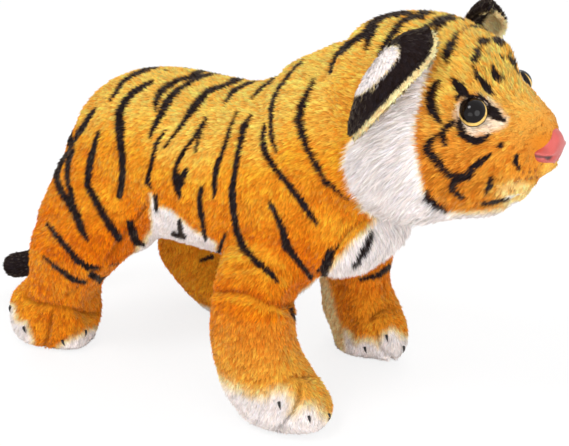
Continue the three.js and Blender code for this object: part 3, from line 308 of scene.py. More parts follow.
FAR_LINING = [(484, 36), (484, 22), (489, 15), (495, 11), (502, 12), (512, 16), (512, 30), (508, 46)]
# Pulled-in seams and creases in the same view: places, half width, depth in millimetres and how much painted shade each
# lays on.
ELBOW = [(219, 291), (232, 292), (246, 294), (258, 299), (268, 304), (280, 306), (293, 303)]
UNDERARM = ([(236, 268), (252, 265), (270, 268), (284, 276)], 5, 1.8, 0.16)
CREASES = {
    "front": [(ELBOW, 5, 7.0, 0.48), UNDERARM,
              ([(284, 383), (296, 377), (306, 376), (314, 374)], 5, 2.6, 0.22),
              ([(300, 386), (299, 398), (294, 411), (280, 427), (272, 436)], 3.4, 3.2, 0.3),
              ([(268, 398), (263, 410), (256, 422)], 3, 1.2, 0.1),
              ([(322, 392), (325, 404), (322, 418)], 3, 1.2, 0.12)],
    "hind": [([(26, 298), (34, 303), (44, 304), (55, 306), (72, 309), (86, 313), (98, 313)], 4.2, 3.8, 0.4),
             ([(53, 310), (51, 322), (47, 338), (43, 352)], 2.8, 3.0, 0.42),
             ([(30, 322), (24, 338)], 2.6, 1.2, 0.12), ([(78, 322), (74, 342)], 2.6, 1.2, 0.12),
             ([(107, 258), (92, 275), (80, 285), (66, 296)], 2.2, 1.2, 0.3)],
    "torso": [([(146, 206), (132, 224), (119, 241), (106, 260)], 3, 2.2, 0.3),
              ([(366, 218), (346, 234), (338, 246), (329, 257), (316, 274)], 2.6, 1.8, 0.22),
              UNDERARM, (ELBOW, 5, 3.0, 0.3)],
    "far_front": [([(371, 318), (380, 310), (388, 307), (394, 312)], 4, 3.0, 0.36),
                  ([(383, 268), (384, 288), (386, 306)], 3, 1.6, 0.22),
                  ([(377, 334), (379, 344), (384, 352), (392, 358)], 2.6, 2.4, 0.3),
                  ([(352, 322), (364, 318), (374, 316)], 3, 1.2, 0.15)],
    "head": [([(543, 166), (539, 171), (540, 177), (530, 181), (515, 185), (500, 189)], 2.6, 2.2, 0.14)],
}
# Sewn seams in the same view, with their stitches.
STITCHED = {
    "hind": [[(118, 240), (106, 259), (92, 275), (80, 285), (66, 296)]],
    "torso": [[(150, 200), (140, 215), (130, 227), (118, 242)], [(366, 218), (346, 234), (336, 249)]],
    "front": [],
}

LOW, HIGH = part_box("torso_cover")
SHIFT = np.array([LOW.x / MM - TORSO_REAR, (LOW.y + HIGH.y) / 2 / MM, 0.0])


def placed(points):
    """Points of the tables, in millimetres, as points of the frame, in metres."""
    return (np.asarray(points, float) + SHIFT) * MM


def spot(*point):
    """One point of the tables as a point of the frame."""
    return tuple(placed(point))


def tabled(points):
    """Points of the frame, in metres, as the tables have them."""
    return np.asarray(points, float) / MM - SHIFT


def seen(points):
    """Where points of the tables lie in the photograph's view."""
    away = points - CAMERA_PLACE
    depth = -(away @ TO_CAMERA)
    return np.stack([VIEW_MIDDLE[0] + FOCAL * (away @ CAMERA_RIGHT) / depth,
                     VIEW_MIDDLE[1] - FOCAL * (away @ CAMERA_UP) / depth], 1)


# ---------------------------------------------------------------- what a user may change
def colour_setting(name, description, default):
    """A colour that a user may change, from its red, green and blue out of 255."""
    linear = tuple(((v / 255 + 0.055) / 1.055) ** 2.4 if v > 10 else v / 255 / 12.92 for v in default)
    return bpy.props.FloatVectorProperty(name=name, description=description, subtype="COLOR", size=3, min=0, max=1,
                                         default=linear)


class TIGER_PG_colours(bpy.types.PropertyGroup):
    """The colours of the plush, the eyes and the nose"""
    back: colour_setting("Back", "Yellow orange along the back and crown", (250, 191, 84))
    orange: colour_setting("Orange", "Orange of the flanks", (244, 158, 38))
    deep: colour_setting("Deep Orange", "Deeper orange low on the body", (219, 112, 4))
    brown: colour_setting("Brown Orange", "Brownish orange of the legs and cheeks", (216, 128, 38))
    white: colour_setting("White", "White of the ruff, chest, belly and toes", (232, 222, 219))
    black: colour_setting("Black", "Black of the stripes, ears and tail tip", (34, 25, 26))
    cream: colour_setting("Cream", "Cream of the ear linings and lips", (246, 219, 158))
    mark: colour_setting("Brown Marks", "Brown of the small dots and crown marks", (128, 66, 34))
    nose: colour_setting("Nose", "Pink of the moulded nose", (188, 80, 74))
    iris: colour_setting("Iris", "Gold of the eyes", (222, 184, 104))


class TIGER_PG_pile(bpy.types.PropertyGroup):
    """The sizes of the pile"""
    length: bpy.props.FloatProperty(name="Pile Length", description="Length of a tuft of the body's pile",
                                    default=4.6 * MM, min=0.001, max=0.03, unit="LENGTH")
    ruff: bpy.props.FloatProperty(name="Ruff Length", description="Length of a tuft of the ruff",
                                  default=10.0 * MM, min=0.001, max=0.03, unit="LENGTH")
    width: bpy.props.FloatProperty(name="Tuft Width", description="Width of a tuft at its root",
                                   default=1.0 * MM, min=0.0002, max=0.005, unit="LENGTH")
    density: bpy.props.FloatProperty(name="Density", description="Tufts on each square millimetre",
                                     default=1.5, min=0.05, max=4)
    lift: bpy.props.FloatProperty(name="Lift", description="How far the pile stands off the skin",
                                  default=math.radians(20), min=0, max=math.pi / 2, subtype="ANGLE", unit="ROTATION")
    skin_depth: bpy.props.FloatProperty(name="Skin Depth", description="How far the skin lies under the pile's face",
                                        default=1.9 * MM, min=0, max=0.01, unit="LENGTH")


# ---------------------------------------------------------------- small helpers
def deselect():
    bpy.ops.object.select_all(action="DESELECT")


def pick(*objects):
    """Selects these objects alone, the first of them active."""
    deselect()
    for item in objects:
        item.select_set(True)
    bpy.context.view_layer.objects.active = objects[0]


def apply_all(piece):
    """Applies all modifiers of a piece."""
    pick(piece)
    for modifier in list(piece.modifiers):
        bpy.ops.object.modifier_apply(modifier=modifier.name)


def edit(piece, *steps):
    """Runs each step in edit mode on the whole piece."""
    pick(piece)
    bpy.ops.object.mode_set(mode="EDIT")
    for step in steps:
        bpy.ops.mesh.select_all(action="SELECT")
        step()
    bpy.ops.object.mode_set(mode="OBJECT")


def twin(piece, name):
    """A copy of a piece with its own mesh."""
    made = piece.copy()
    made.data = piece.data.copy()
    made.name = name
    bpy.context.scene.collection.objects.link(made)
    return made


def mesh_object(name, points, faces):
    """An object from points in metres and lists of corners."""
    mesh = bpy.data.meshes.new(name)
    mesh.from_pydata([tuple(point) for point in points], [], [tuple(face) for face in faces])
    piece = bpy.data.objects.new(name, mesh)
    bpy.context.scene.collection.objects.link(piece)
    return piece


def vertex_values(mesh, key):
    """Three numbers from each vertex of a mesh."""
    flat = np.empty(len(mesh.vertices) * 3, np.float32)
    mesh.vertices.foreach_get(key, flat)
    return flat.reshape(-1, 3).astype(float)


def coordinates(piece):
    return vertex_values(piece.data, "co")


def normals_of(piece):
    return vertex_values(piece.data, "normal")


def set_coordinates(piece, points):
    piece.data.vertices.foreach_set("co", np.asarray(points, np.float32).ravel())
    piece.data.update()


def off_ground(points):
    """The same points in metres, none of them lower than the skin may lie."""
    return np.column_stack([points[:, :2], np.maximum(points[:, 2], GROUND_GAP * MM)])


def eased(value, low, high):
    """From 0 at low to 1 at high, with soft ends."""
    share = np.clip((np.asarray(value, float) - low) / (high - low), 0, 1)
    return share * share * (3 - 2 * share)


def mixed(first, second, share):
    """The first colour with that share of the second in it."""
    share = np.asarray(share)[:, None]
    return first * (1 - share) + second * share


def unit(vectors):
    """The same vectors at length 1."""
    return vectors / np.maximum(np.linalg.norm(vectors, axis=-1, keepdims=True), 1e-9)


def sideways(vectors, normals):
    """What is left of each vector across its normal."""
    return vectors - normals * (vectors * normals).sum(1, keepdims=True)


LATTICE_SIZE = 32
LATTICE = np.random.default_rng(SEED).random((LATTICE_SIZE,) * 3)


def clouds(points, size):
    """Smooth noise from 0 to 1 over points, with lumps of that size in millimetres."""
    scaled = points / size + 100
    whole = np.floor(scaled).astype(int)
    part = scaled - whole
    part = part * part * (3 - 2 * part)
    total = np.zeros(len(points))
    for corner in range(8):
        step = np.array([corner & 1, corner >> 1 & 1, corner >> 2 & 1])
        weight = np.prod(np.where(step, part, 1 - part), axis=1)
        index = (whole + step) % LATTICE_SIZE
        total += weight * LATTICE[index[:, 0], index[:, 1], index[:, 2]]
    return total


def finer(rows, steps):
    """Rows with some more between each two, on a smooth curve through them."""
    rows = np.asarray(rows, float)
    made = []
    for index in range(len(rows) - 1):
        before, start, end, after = (rows[min(max(index + k, 0), len(rows) - 1)] for k in (-1, 0, 1, 2))
        for step in range(steps):
            part = step / steps
            slope_in, slope_out, rise = (end - before) / 2, (after - start) / 2, end - start
            made.append(start + part * (slope_in + part * (3 * rise - 2 * slope_in - slope_out
                                                           + part * (slope_in + slope_out - 2 * rise))))
    made.append(rows[-1])
    return np.array(made)


TAIL_LINE = finer(TAIL_POINTS, CURVE_STEPS)


def ring(centre, across, upward, half_across, half_up, sides, fullness=FULLNESS):
    """Points round a centre: an oval at a fullness of 2, and squarer above that."""
    angle = 2 * np.pi * np.arange(sides) / sides
    out = np.sign(np.cos(angle)) * np.abs(np.cos(angle)) ** (2 / fullness) * half_across
    rise = np.sign(np.sin(angle)) * np.abs(np.sin(angle)) ** (2 / fullness) * half_up
    return np.asarray(centre) + out[:, None] * np.asarray(across) + rise[:, None] * np.asarray(upward)


def outwards(piece):
    """Turns the faces of a closed piece outwards."""
    edit(piece, lambda: bpy.ops.mesh.normals_make_consistent(inside=False))


def loft(name, rings, first, last):
    """A closed skin over rings of equally many points, with a pole at each end. Millimetres in."""
    sides = len(rings[0])
    points = np.concatenate([*rings, [first, last]])
    faces = []
    for row in range(len(rings) - 1):
        for side in range(sides):
            following = (side + 1) % sides
            faces.append((row * sides + side, row * sides + following,
                          (row + 1) * sides + following, (row + 1) * sides + side))
    end = (len(rings) - 1) * sides
    for side in range(sides):
        following = (side + 1) % sides
        faces.append((following, side, len(points) - 2))
        faces.append((end + side, end + following, len(points) - 1))
    piece = mesh_object(name, placed(points), faces)
    outwards(piece)
    return piece


def swell(name, centre, radii, turn=(0, 0, 0)):
    """A rounded lump of stuffing: a ball at its place, drawn out and turned."""
    deselect()
    bpy.ops.mesh.primitive_uv_sphere_add(segments=28, ring_count=18, radius=MM, location=spot(*centre),
                                         rotation=tuple(math.radians(angle) for angle in turn))
    piece = bpy.context.object
    piece.name = name
    piece.scale = radii
    bpy.ops.object.transform_apply(location=True, rotation=True, scale=True)
    return piece


# ---------------------------------------------------------------- drawing the markings
def line_cover(places, line):
    """How far inside a drawn line each place lies, in the view's points; below 0 outside."""
    line = np.asarray(line, float)
    cover = np.full(len(places), OUTSIDE)
    for start, end in zip(line[:-1], line[1:]):
        along = end[:2] - start[:2]
        share = np.clip((places - start[:2]) @ along / max(along @ along, 1e-6), 0, 1)
        gap = np.linalg.norm(places - start[:2] - share[:, None] * along, axis=1)
        cover = np.maximum(cover, (start[2] + (end[2] - start[2]) * share) / 2 - gap)
    return cover


def lines_cover(places, lines):
    """How far inside any of the lines each place lies."""
    cover = np.full(len(places), OUTSIDE)
    for line in lines:
        line = np.asarray(line, float)
        reach = line[:, 2].max() / 2 + 9
        near = ((places > line[:, :2].min(0) - reach) & (places < line[:, :2].max(0) + reach)).all(1)
        cover[near] = np.maximum(cover[near], line_cover(places[near], line))
    return cover


def cross_stitches(paths):
    """Short lines across each path, as its stitches show."""
    made = []
    for path in paths:
        for start, end in zip(path[:-1], path[1:]):
            start, end = np.array(start, float), np.array(end, float)
            along = end - start
            count = max(int(np.linalg.norm(along) / 4.5), 1)
            across = np.array([-along[1], along[0]]) / np.linalg.norm(along)
            for number in range(count):
                middle = start + along * (number + 0.5) / count
                made.append([(*(middle - across * 2.6), 1.1), (*(middle + across * 2.6), 1.3)])
    return made


def outline_cover(places, outline):
    """How far inside an outline each place lies, in the view's points; below 0 outside."""
    corners = np.asarray(outline, float)
    closed = np.column_stack([np.vstack([corners, corners[:1]]), np.zeros(len(corners) + 1)])
    gap = -line_cover(places, closed)
    inside = np.zeros(len(places), bool)
    for (x0, y0), (x1, y1) in zip(corners, np.roll(corners, -1, axis=0)):
        if y0 == y1:
            continue
        crosses = (y0 > places[:, 1]) != (y1 > places[:, 1])
        inside ^= crosses & (places[:, 0] < (x1 - x0) * (places[:, 1] - y0) / (y1 - y0) + x0)
    return np.where(inside, gap, -gap)


def leg_stand(side, is_front):
    """How far forward a leg's pivot is, and how far out the leg stands."""
    return FRONT_PIVOT_X if is_front else HIND_PIVOT_X, FAR_STANCE if side > 0 else NEAR_STANCE


def leg_line(part, heights):
    """Forward and outward places of a leg's middle line at these heights."""
    side = -1 if part.startswith("right") else 1
    is_front = "front" in part
    rows = np.array(leg_rows(side, is_front))[::-1]
    pivot, stance = leg_stand(side, is_front)
    shares = np.asarray(heights) / LEG_HEIGHT
    return (pivot + np.interp(shares, rows[:, 0], rows[:, 1]) * PAW_LENGTH,
            side * np.interp(shares, rows[:, 0], rows[:, 2]) * stance)


def to_near_side(points, normals, part):
    """The same places on the near half of the tiger, where the markings are drawn."""
    points, normals = points.copy(), normals.copy()
    if part.startswith("left") and part.endswith("leg"):
        far_x, far_y = leg_line(part, points[:, 2])
        near_x, near_y = leg_line(part.replace("left", "right"), points[:, 2])
        points[:, 0] += near_x - far_x
        points[:, 1] = near_y - (points[:, 1] - far_y)
        normals[:, 1] *= -1
    elif not part.endswith("leg"):
        far = points[:, 1] > 0
        points[far, 1] *= -1
        normals[far, 1] *= -1
    return points, normals


class Palette:
    """The user's colours as arrays."""

    def __init__(self):
        for key in TIGER_PG_colours.__annotations__:
            setattr(self, key, np.array(getattr(bpy.context.scene.tiger_colours, key)))


class Coat:
    """Places on a part's plush, in millimetres: how they are seen, and what is painted on them so far."""

    def __init__(self, points, normals, part):
        near, near_normals = to_near_side(points, normals, part)
        self.tone = Palette()
        self.part, self.points = part, points
        self.high, self.up = points[:, 2], normals[:, 2]
        self.is_far_leg = part.startswith("left")
        self.places, self.direct = seen(near), seen(points)
        self.facing = near_normals @ TO_CAMERA
        self.shows = (normals @ TO_CAMERA > 0.02) & (self.is_far_leg if part.endswith("leg") else points[:, 1] > 0)
        self.ragged = (clouds(points, 1.3) - 0.5) * 1.6
        self.soft = (clouds(points, 9.0) - 0.5) * 5
        # dark holds the painted shade that the creases lay on each place.
        self.white, self.dark = np.zeros(len(points)), np.zeros(len(points))
        self.black = np.full(len(points), OUTSIDE)
        # Partly the coat's own tones and partly painted light: yellower high on the body and wherever the skin faces
        # up, deeper orange low down and facing down, with random patches.
        warmth_and_painted_light = np.clip(0.55 * eased(self.up, -0.35, 0.95) + 0.6 * eased(self.high, 95, 232) - 0.08
                         - 0.12 * eased(-60 - points[:, 0], 0, 40) + 0.4 * (clouds(points, 26.0) - 0.5), 0, 1)
        self.colour = np.where((warmth_and_painted_light < 0.5)[:, None], mixed(self.tone.deep, self.tone.orange, warmth_and_painted_light * 2),
                               mixed(self.tone.orange, self.tone.back, warmth_and_painted_light * 2 - 1))

    def mix(self, colour, share):
        """Mixes that share of a colour into what is painted."""
        self.colour = mixed(self.colour, colour, share)


def paint_leg(coat):
    """Deep orange legs with white toes, their stripes and the stitches of their seams, painted light where they face
    up, low on the front legs and over the far hind leg, and painted shade in their creases.
    """
    tone, high, soft, ragged, facing, shows = coat.tone, coat.high, coat.soft, coat.ragged, coat.facing, coat.shows
    places, direct = coat.places, coat.direct
    kind = "front" if "front" in coat.part else "hind"
    # Painted light: the legs are lighter orange where they face up.
    coat.colour = mixed(tone.deep, tone.orange, np.clip(0.25 + 0.45 * eased(coat.up, -0.2, 0.9)
                                                        + 0.4 * (clouds(coat.points, 20.0) - 0.5), 0, 1))
    ahead = coat.points[:, 0] - leg_line(coat.part, high)[0]
    white = np.maximum(eased(9 - high + soft, -4, 5),
                       eased(ahead - 18 - (high - 8) * 1.2 + soft, -8, 8) * eased(28 - high, 0, 10))
    near_drawn = (facing > 0.05) & ~shows
    if kind == "front":
        coat.mix(tone.brown, 0.5 * eased(high, 45, 75))
        # Painted light: lighter yellow orange low on the front legs, much less on the far leg.
        coat.mix(tone.back, (0.1 if coat.is_far_leg else 0.45) * eased(88 - high, 0, 55))
        coat.mix(tone.deep, 0.35 * coat.is_far_leg * eased(high, 20, 45))
        white = np.maximum(white, eased(-ahead - 24 + soft * 1.5, -8, 12) * eased(34 - high + soft, -10, 14))
        drawn = eased(outline_cover(places, FRONT_PAW_OUTLINE) + ragged + soft * 0.5, -17, 9)
        white = np.where(near_drawn, drawn, white)
        white = np.where(shows, eased(outline_cover(direct, FAR_PAW_OUTLINE) + ragged, -9, 6), white)
        rear = eased(331 - direct[:, 0] + (direct[:, 1] - 280) * 0.28, -2, 7) * 0.4
        white = np.where(shows, np.maximum(white, rear), white)
    else:
        if coat.is_far_leg:
            # Painted light: the far hind leg is mostly a brighter plain orange, lit up against the shade under the
            # belly.
            coat.mix(tone.orange * (1.0, 0.9, 0.8), np.full(len(high), 0.75))
        drawn = eased(np.maximum(*(outline_cover(places, outline) for outline in HIND_PAW_OUTLINES))
                      + ragged + soft * 0.3, -7, 5)
        white = np.where(near_drawn, drawn, white)
    coat.white = white
    stripes, far_stripes = LEG_STRIPES[kind]
    coat.black = np.where((facing > -0.05) & ~shows, lines_cover(places, stripes), coat.black)
    coat.black = np.where(shows, lines_cover(direct, far_stripes), coat.black)
    # Painted shade in the legs' creases.
    coat.dark = np.where(shows, painted_crease_shade(direct, CREASES.get("far_" + kind, [])),
                         eased(facing, -0.05, 0.3) * painted_crease_shade(places, CREASES[kind]))
    sewn = np.where((facing > 0) & ~shows, lines_cover(places, cross_stitches(STITCHED[kind])), OUTSIDE)
    coat.mix(tone.mark, eased(sewn, -0.7, 0.5) * 0.6)


def paint_tail(coat):
    """The tail's dark rings and its black tip."""
    share = tail_share(coat.points)
    black = np.where(share > 0.78, 9.0, coat.black)
    rings = np.abs((share * 7) % 1 - 0.5) - 0.32 + coat.ragged * 0.02
    coat.black = np.where((rings > 0) & (coat.up > -0.8), np.maximum(black, rings * 20), black)


def paint_head(coat):
    """The brown face with its pale jaw, lip and eye patch, the white ruff and chin, and all its marks, with the crown
    yellower, partly its own tone and partly painted light, and painted shade in the mouth's crease.
    """
    tone, high, soft, ragged, facing, shows = coat.tone, coat.high, coat.soft, coat.ragged, coat.facing, coat.shows
    forward, places = coat.points[:, 0], coat.places
    coat.mix(tone.brown * 0.9, eased(forward, 120, 150) * 0.75 * eased(252 - high, -10, 30))
    # Partly the crown's own tone and partly painted light: yellower on the top of the head.
    coat.mix(tone.back, 0.5 * eased(high, 250, 280))
    ruff = outline_cover(places, RUFF_OUTLINE)
    coat.mix(tone.brown * (0.92, 0.72, 0.6), 0.6 * eased(10 + ruff, 0, 9) * (ruff < 0) * (places[:, 0] > 405))
    jaw = eased(25 - np.hypot((places[:, 0] - 517) * 0.6, places[:, 1] - 193), 0, 22)
    coat.mix(tone.back, 0.85 * jaw)
    coat.mix(tone.cream, 0.5 * eased(jaw, 0.4, 1))
    coat.mix(tone.back, 0.7 * eased(outline_cover(places, LIP_OUTLINE) + ragged, -8, 3))
    patch = eased(outline_cover(places, EYE_PATCH) + ragged * 1.2, -5, 3)
    coat.mix(0.65 * tone.white + 0.35 * tone.cream, 0.8 * patch)
    white = np.maximum(eased(ruff + ragged * 1.2, -2, 3),
                       eased(outline_cover(places, CHIN_OUTLINE) + ragged + soft * 0.5, -6, 5))
    coat.white = np.maximum(white, eased(-coat.up - 0.72 + soft * 0.03, -0.12, 0.12) * eased(205 - high, -6, 8)
                            * eased(212 - forward, -4, 6))
    black = np.where(facing > -0.12, lines_cover(places, HEAD_STRIPES), coat.black)
    coat.black = np.where(shows, np.maximum(black, lines_cover(coat.direct, FAR_HEAD_STRIPES)), black)
    brown = np.where(facing > -0.1, lines_cover(places, BROWN_MARKS), OUTSIDE)
    coat.mix(tone.mark, eased(brown, -0.8, 0.6) * 0.85)
    # Painted shade in the crease under the muzzle.
    coat.dark = np.where(facing > 0, painted_crease_shade(places, CREASES["head"]), 0)


def paint_ear_back(coat):
    """Black ear backs with a white patch."""
    coat.colour = np.repeat(coat.tone.black[None], len(coat.points), 0)
    coat.white = eased(outline_cover(coat.places, EAR_PATCH) + coat.ragged, -1.5, 1.5)


def paint_ear_lining(coat):
    """Cream ear linings lifted brighter as painted light in their cups, black round the edge that shows on the far ear.
    """
    # Painted light: the cream is lifted brighter than its own tone, against the shade in the cupped ear.
    coat.colour = np.clip(coat.tone.cream * (1.06, 0.98, 1.0) * (1.0 + 0.2 * clouds(coat.points, 8.0))[:, None], 0, 1)
    edge = np.where(coat.shows, -outline_cover(coat.direct, FAR_LINING), -9)
    coat.mix(coat.tone.black, eased(edge + coat.ragged, -1, 1.5))


def paint_torso(coat):
    """The striped orange torso with its white belly and chest, the painted shade of its creases and the stitches of its
    seams.
    """
    soft, ragged, facing, places = coat.soft, coat.ragged, coat.facing, coat.places
    forward, out = coat.points[:, 0], np.abs(coat.points[:, 1])
    under = eased(-coat.up - 0.45 + soft * 0.05, -0.15, 0.15) * eased(120 - coat.high, -4, 6) \
        * eased(forward + 118, -6, 6) * eased(42 - 18 * eased(forward, 45, 65) - out + soft, -4, 6)
    belly = eased(outline_cover(places, BELLY_OUTLINE) + ragged + soft * 0.6, -3, 3)
    chest = np.maximum(eased(outline_cover(places, CHEST_OUTLINE) + ragged + soft, -9, 3),
                       eased(outline_cover(places, RUFF_OUTLINE) + ragged + soft * 0.6, -5, 3))
    coat.white = np.maximum(under, np.maximum(belly, chest))
    coat.black = np.where(facing > -0.12, lines_cover(places, TORSO_STRIPES), coat.black)
    # Painted shade in the torso's creases.
    coat.dark = np.where(facing > 0, painted_crease_shade(places, CREASES["torso"]), 0)
    sewn = np.where(facing > 0, lines_cover(places, cross_stitches(STITCHED["torso"])), OUTSIDE)
    coat.mix(coat.tone.mark, eased(sewn, -0.7, 0.5) * 0.55)


COATS = {"torso": paint_torso, "head": paint_head, "tail": paint_tail, "ear_back": paint_ear_back,
         "ear_lining": paint_ear_lining}


def paint(points, normals, part):
    """Colour and whiteness of the plush of a part, at places in millimetres, with painted shade in its creases."""
    coat = Coat(points, normals, part)
    COATS.get(part, paint_leg)(coat)
    coat.mix(coat.tone.cream, 0.85 * eased(coat.white, 0, 0.5))
    coat.mix(coat.tone.white, eased(coat.white, 0.3, 1))
    if part != "ear_lining":
        coat.mix(coat.tone.black, eased(coat.black + 0.9 + coat.ragged * 0.5, -0.6, 0.6))
    # The creases' painted shade darkens the colour.
    return coat.colour * (1 - coat.dark[:, None]), coat.white


def crease_gaps(places, creases):
    """How far each place is from each crease."""
    return [np.maximum(-lines_cover(places, [[(x, y, 0) for x, y in line]]), 0) for line, *_ in creases]


def painted_crease_shade(places, creases):
    """How much painted shade the creases lay on each place."""
    share = np.zeros(len(places))
    for gap, (_, half, _, darkness) in zip(crease_gaps(places, creases), creases):
        share = np.maximum(share, darkness * np.exp(-((gap / (half * 0.75)) ** 2)))
    return share


def crease_depth(places, creases):
    """How deep the creases draw each place in, below 0 where the stuffing swells beside one."""
    depth, beside = np.zeros(len(places)), np.zeros(len(places))
    for gap, (_, half, deep, _) in zip(crease_gaps(places, creases), creases):
        depth = np.maximum(depth, deep * np.exp(-((gap / half) ** 2)))
        beside = np.maximum(beside, 0.3 * deep * np.exp(-(((gap - 2.3 * half) / (1.2 * half)) ** 2)))
    return depth - beside


def nearest_on_tail(points):
    """The number of the point of the tail's line that is nearest to each place."""
    return np.linalg.norm(points[:, None] - TAIL_LINE[None], axis=2).argmin(1)


def tail_share(points):
    """How far along the tail each point lies, from 0 at the root to 1 at the tip."""
    return nearest_on_tail(points) / (len(TAIL_LINE) - 1)


# ---------------------------------------------------------------- the stuffed forms
def lying_form(name, rear, length, base, height, width, rows):
    """The torso or the head: rings along its length by the rows of its table."""
    made = []
    for along, top, bottom, half in finer(rows, ROW_STEPS):
        middle = base + (top + bottom) / 2 * height
        made.append(ring((rear + along * length, 0, middle), (0, 1, 0), (0, 0, 1), half * width,
                         (top - bottom) / 2 * height, FORM_SIDES))
    first = (rear, 0, base + (rows[0][1] + rows[0][2]) / 2 * height)
    last = (rear + length, 0, base + (rows[-1][1] + rows[-1][2]) / 2 * height)
    return loft(name, made, first, last)


def leg_rows(side, is_front):
    """The rows of a leg's table: the far hind leg steps forward."""
    rows = [list(row) for row in (FRONT_LEG_ROWS if is_front else HIND_LEG_ROWS)]
    if side > 0 and not is_front:
        for row, forward in zip(rows, STEPPING_FORWARD):
            row[1] = forward
    return rows


def leg_form(name, side, is_front):
    """One leg from its hub to its sole, with the paw turned in."""
    rows = leg_rows(side, is_front)
    pivot, stance = leg_stand(side, is_front)
    ankle = next(row[1] for row in rows if row[0] <= ANKLE_HEIGHT)
    made = []
    for height, forward, outward, half_length, half_width in finer(rows, ROW_STEPS):
        turn = math.radians(-side * TOE_IN * (1 - min(max(height, 0) / ANKLE_HEIGHT, 1)))
        ahead = np.array([math.cos(turn), math.sin(turn), 0])
        aside = np.array([-math.sin(turn), math.cos(turn), 0])
        centre = ahead * (forward - ankle) * PAW_LENGTH + np.array(
            [pivot + ankle * PAW_LENGTH, side * outward * stance, max(height, 0) * LEG_HEIGHT])
        made.append(ring(centre, ahead, aside, half_length * PAW_LENGTH, half_width * PAW_WIDTH, LEG_SIDES))
    return loft(name, made, made[0].mean(0), made[-1].mean(0))


def body_form():
    """The whole stuffed body without ears and tail, as one even skin."""
    parts = [
        lying_form("torso_form", TORSO_REAR, TORSO_LENGTH, 0, TORSO_HEIGHT, TORSO_WIDTH, TORSO_ROWS),
        lying_form("head_form", HEAD_REAR, HEAD_LENGTH, HEAD_BASE, HEAD_HEIGHT, HEAD_WIDTH, HEAD_ROWS),
        swell("neck_form", NECK, (NECK_RADIUS,) * 3),
    ]
    for side, _ in SIDES:
        for is_front in (True, False):
            parts.append(leg_form(f"leg_form_{side}_{is_front}", side, is_front))
            high, size = HUBS[is_front]
            parts.append(swell("hub_form", (leg_stand(side, is_front)[0], side * HUB_OUT, high),
                               (size, HUB_OUT, size)))
        for name, (forward, out, high), radii, turn in SIDE_SWELLS:
            parts.append(swell(name, (forward, side * out, high), radii, turn))
    parts += [swell(*lump) for lump in MIDDLE_SWELLS]
    pick(*parts)
    bpy.ops.object.join()
    body = bpy.context.object
    body.name = "body_form"
    body.data.remesh_voxel_size = VOXEL * MM
    body.data.remesh_voxel_adaptivity = 0
    bpy.ops.object.voxel_remesh()
    smooth = body.modifiers.new("even", "SMOOTH")
    smooth.factor, smooth.iterations = EVENING, EVENING_ROUNDS
    apply_all(body)
    work(body)
    draw_in(body)
    stuff(body)
    pull_seams(body)
    return body


def work(body):
    """Pushes the stuffing about where the toy is fuller or slimmer."""
    points = tabled(coordinates(body))
    moved = np.zeros_like(points)
    twice = [(*row, side) for row in WORKED_TWICE for side in (1, -1)]
    for place, reach, move, side in [(*row, 1) for row in WORKED] + twice:
        flip = np.array([1, side, 1])
        gap = np.linalg.norm(points - np.array(place) * flip, axis=1) / reach
        moved += np.exp(-(gap ** 2) * 1.4)[:, None] * np.array(move) * flip
    set_coordinates(body, placed(points + moved))


def draw_in(body):
    """Brings the skin in under the pile's face, and keeps it on the ground."""
    depth = bpy.context.scene.tiger_pile.skin_depth
    set_coordinates(body, off_ground(coordinates(body) - normals_of(body) * depth))


def stuff(body):
    """Fills the sewn skin: cloth under pressure, held at its seams, the soles and the face's sockets."""
    before = coordinates(body)
    points = tabled(before)
    held = body.vertex_groups.new(name="held")
    near = seen(np.column_stack([points[:, 0], -np.abs(points[:, 1]), points[:, 2]]))
    share = np.clip(sum(painted_crease_shade(near, lines) for lines in CREASES.values()) * 3, 0, 1)
    for centre in (*EYES, NOSE_CENTRE):
        share = np.maximum(share, eased(24 - np.linalg.norm(points - centre, axis=1), 0, 12))
    share = np.maximum(share, eased(5 - points[:, 2], 0, 3))
    for level in range(1, HELD_LEVELS + 1):
        chosen = np.nonzero(np.round(share * HELD_LEVELS) == level)[0]
        if len(chosen):
            held.add([int(index) for index in chosen], level / HELD_LEVELS, "REPLACE")
    cloth = body.modifiers.new("stuffing", "CLOTH")
    settings = cloth.settings
    settings.vertex_group_mass = "held"
    settings.quality = 4
    settings.tension_stiffness = settings.compression_stiffness = STRETCH_STIFFNESS
    settings.bending_stiffness = BENDING_STIFFNESS
    settings.use_pressure = True
    settings.uniform_pressure_force = PRESSURE
    settings.effector_weights.gravity = 0
    cloth.collision_settings.use_collision = False
    scene = bpy.context.scene
    for moment in range(1, MOMENTS + 1):
        scene.frame_set(moment)
    shaped = body.evaluated_get(bpy.context.evaluated_depsgraph_get())
    moved = vertex_values(shaped.data, "co") - before
    reach = np.linalg.norm(moved, axis=1, keepdims=True)
    moved *= np.minimum(1, MOST_SWELL * MM / np.maximum(reach, 1e-9))
    body.modifiers.remove(cloth)
    scene.frame_set(1)
    set_coordinates(body, off_ground(before + moved))


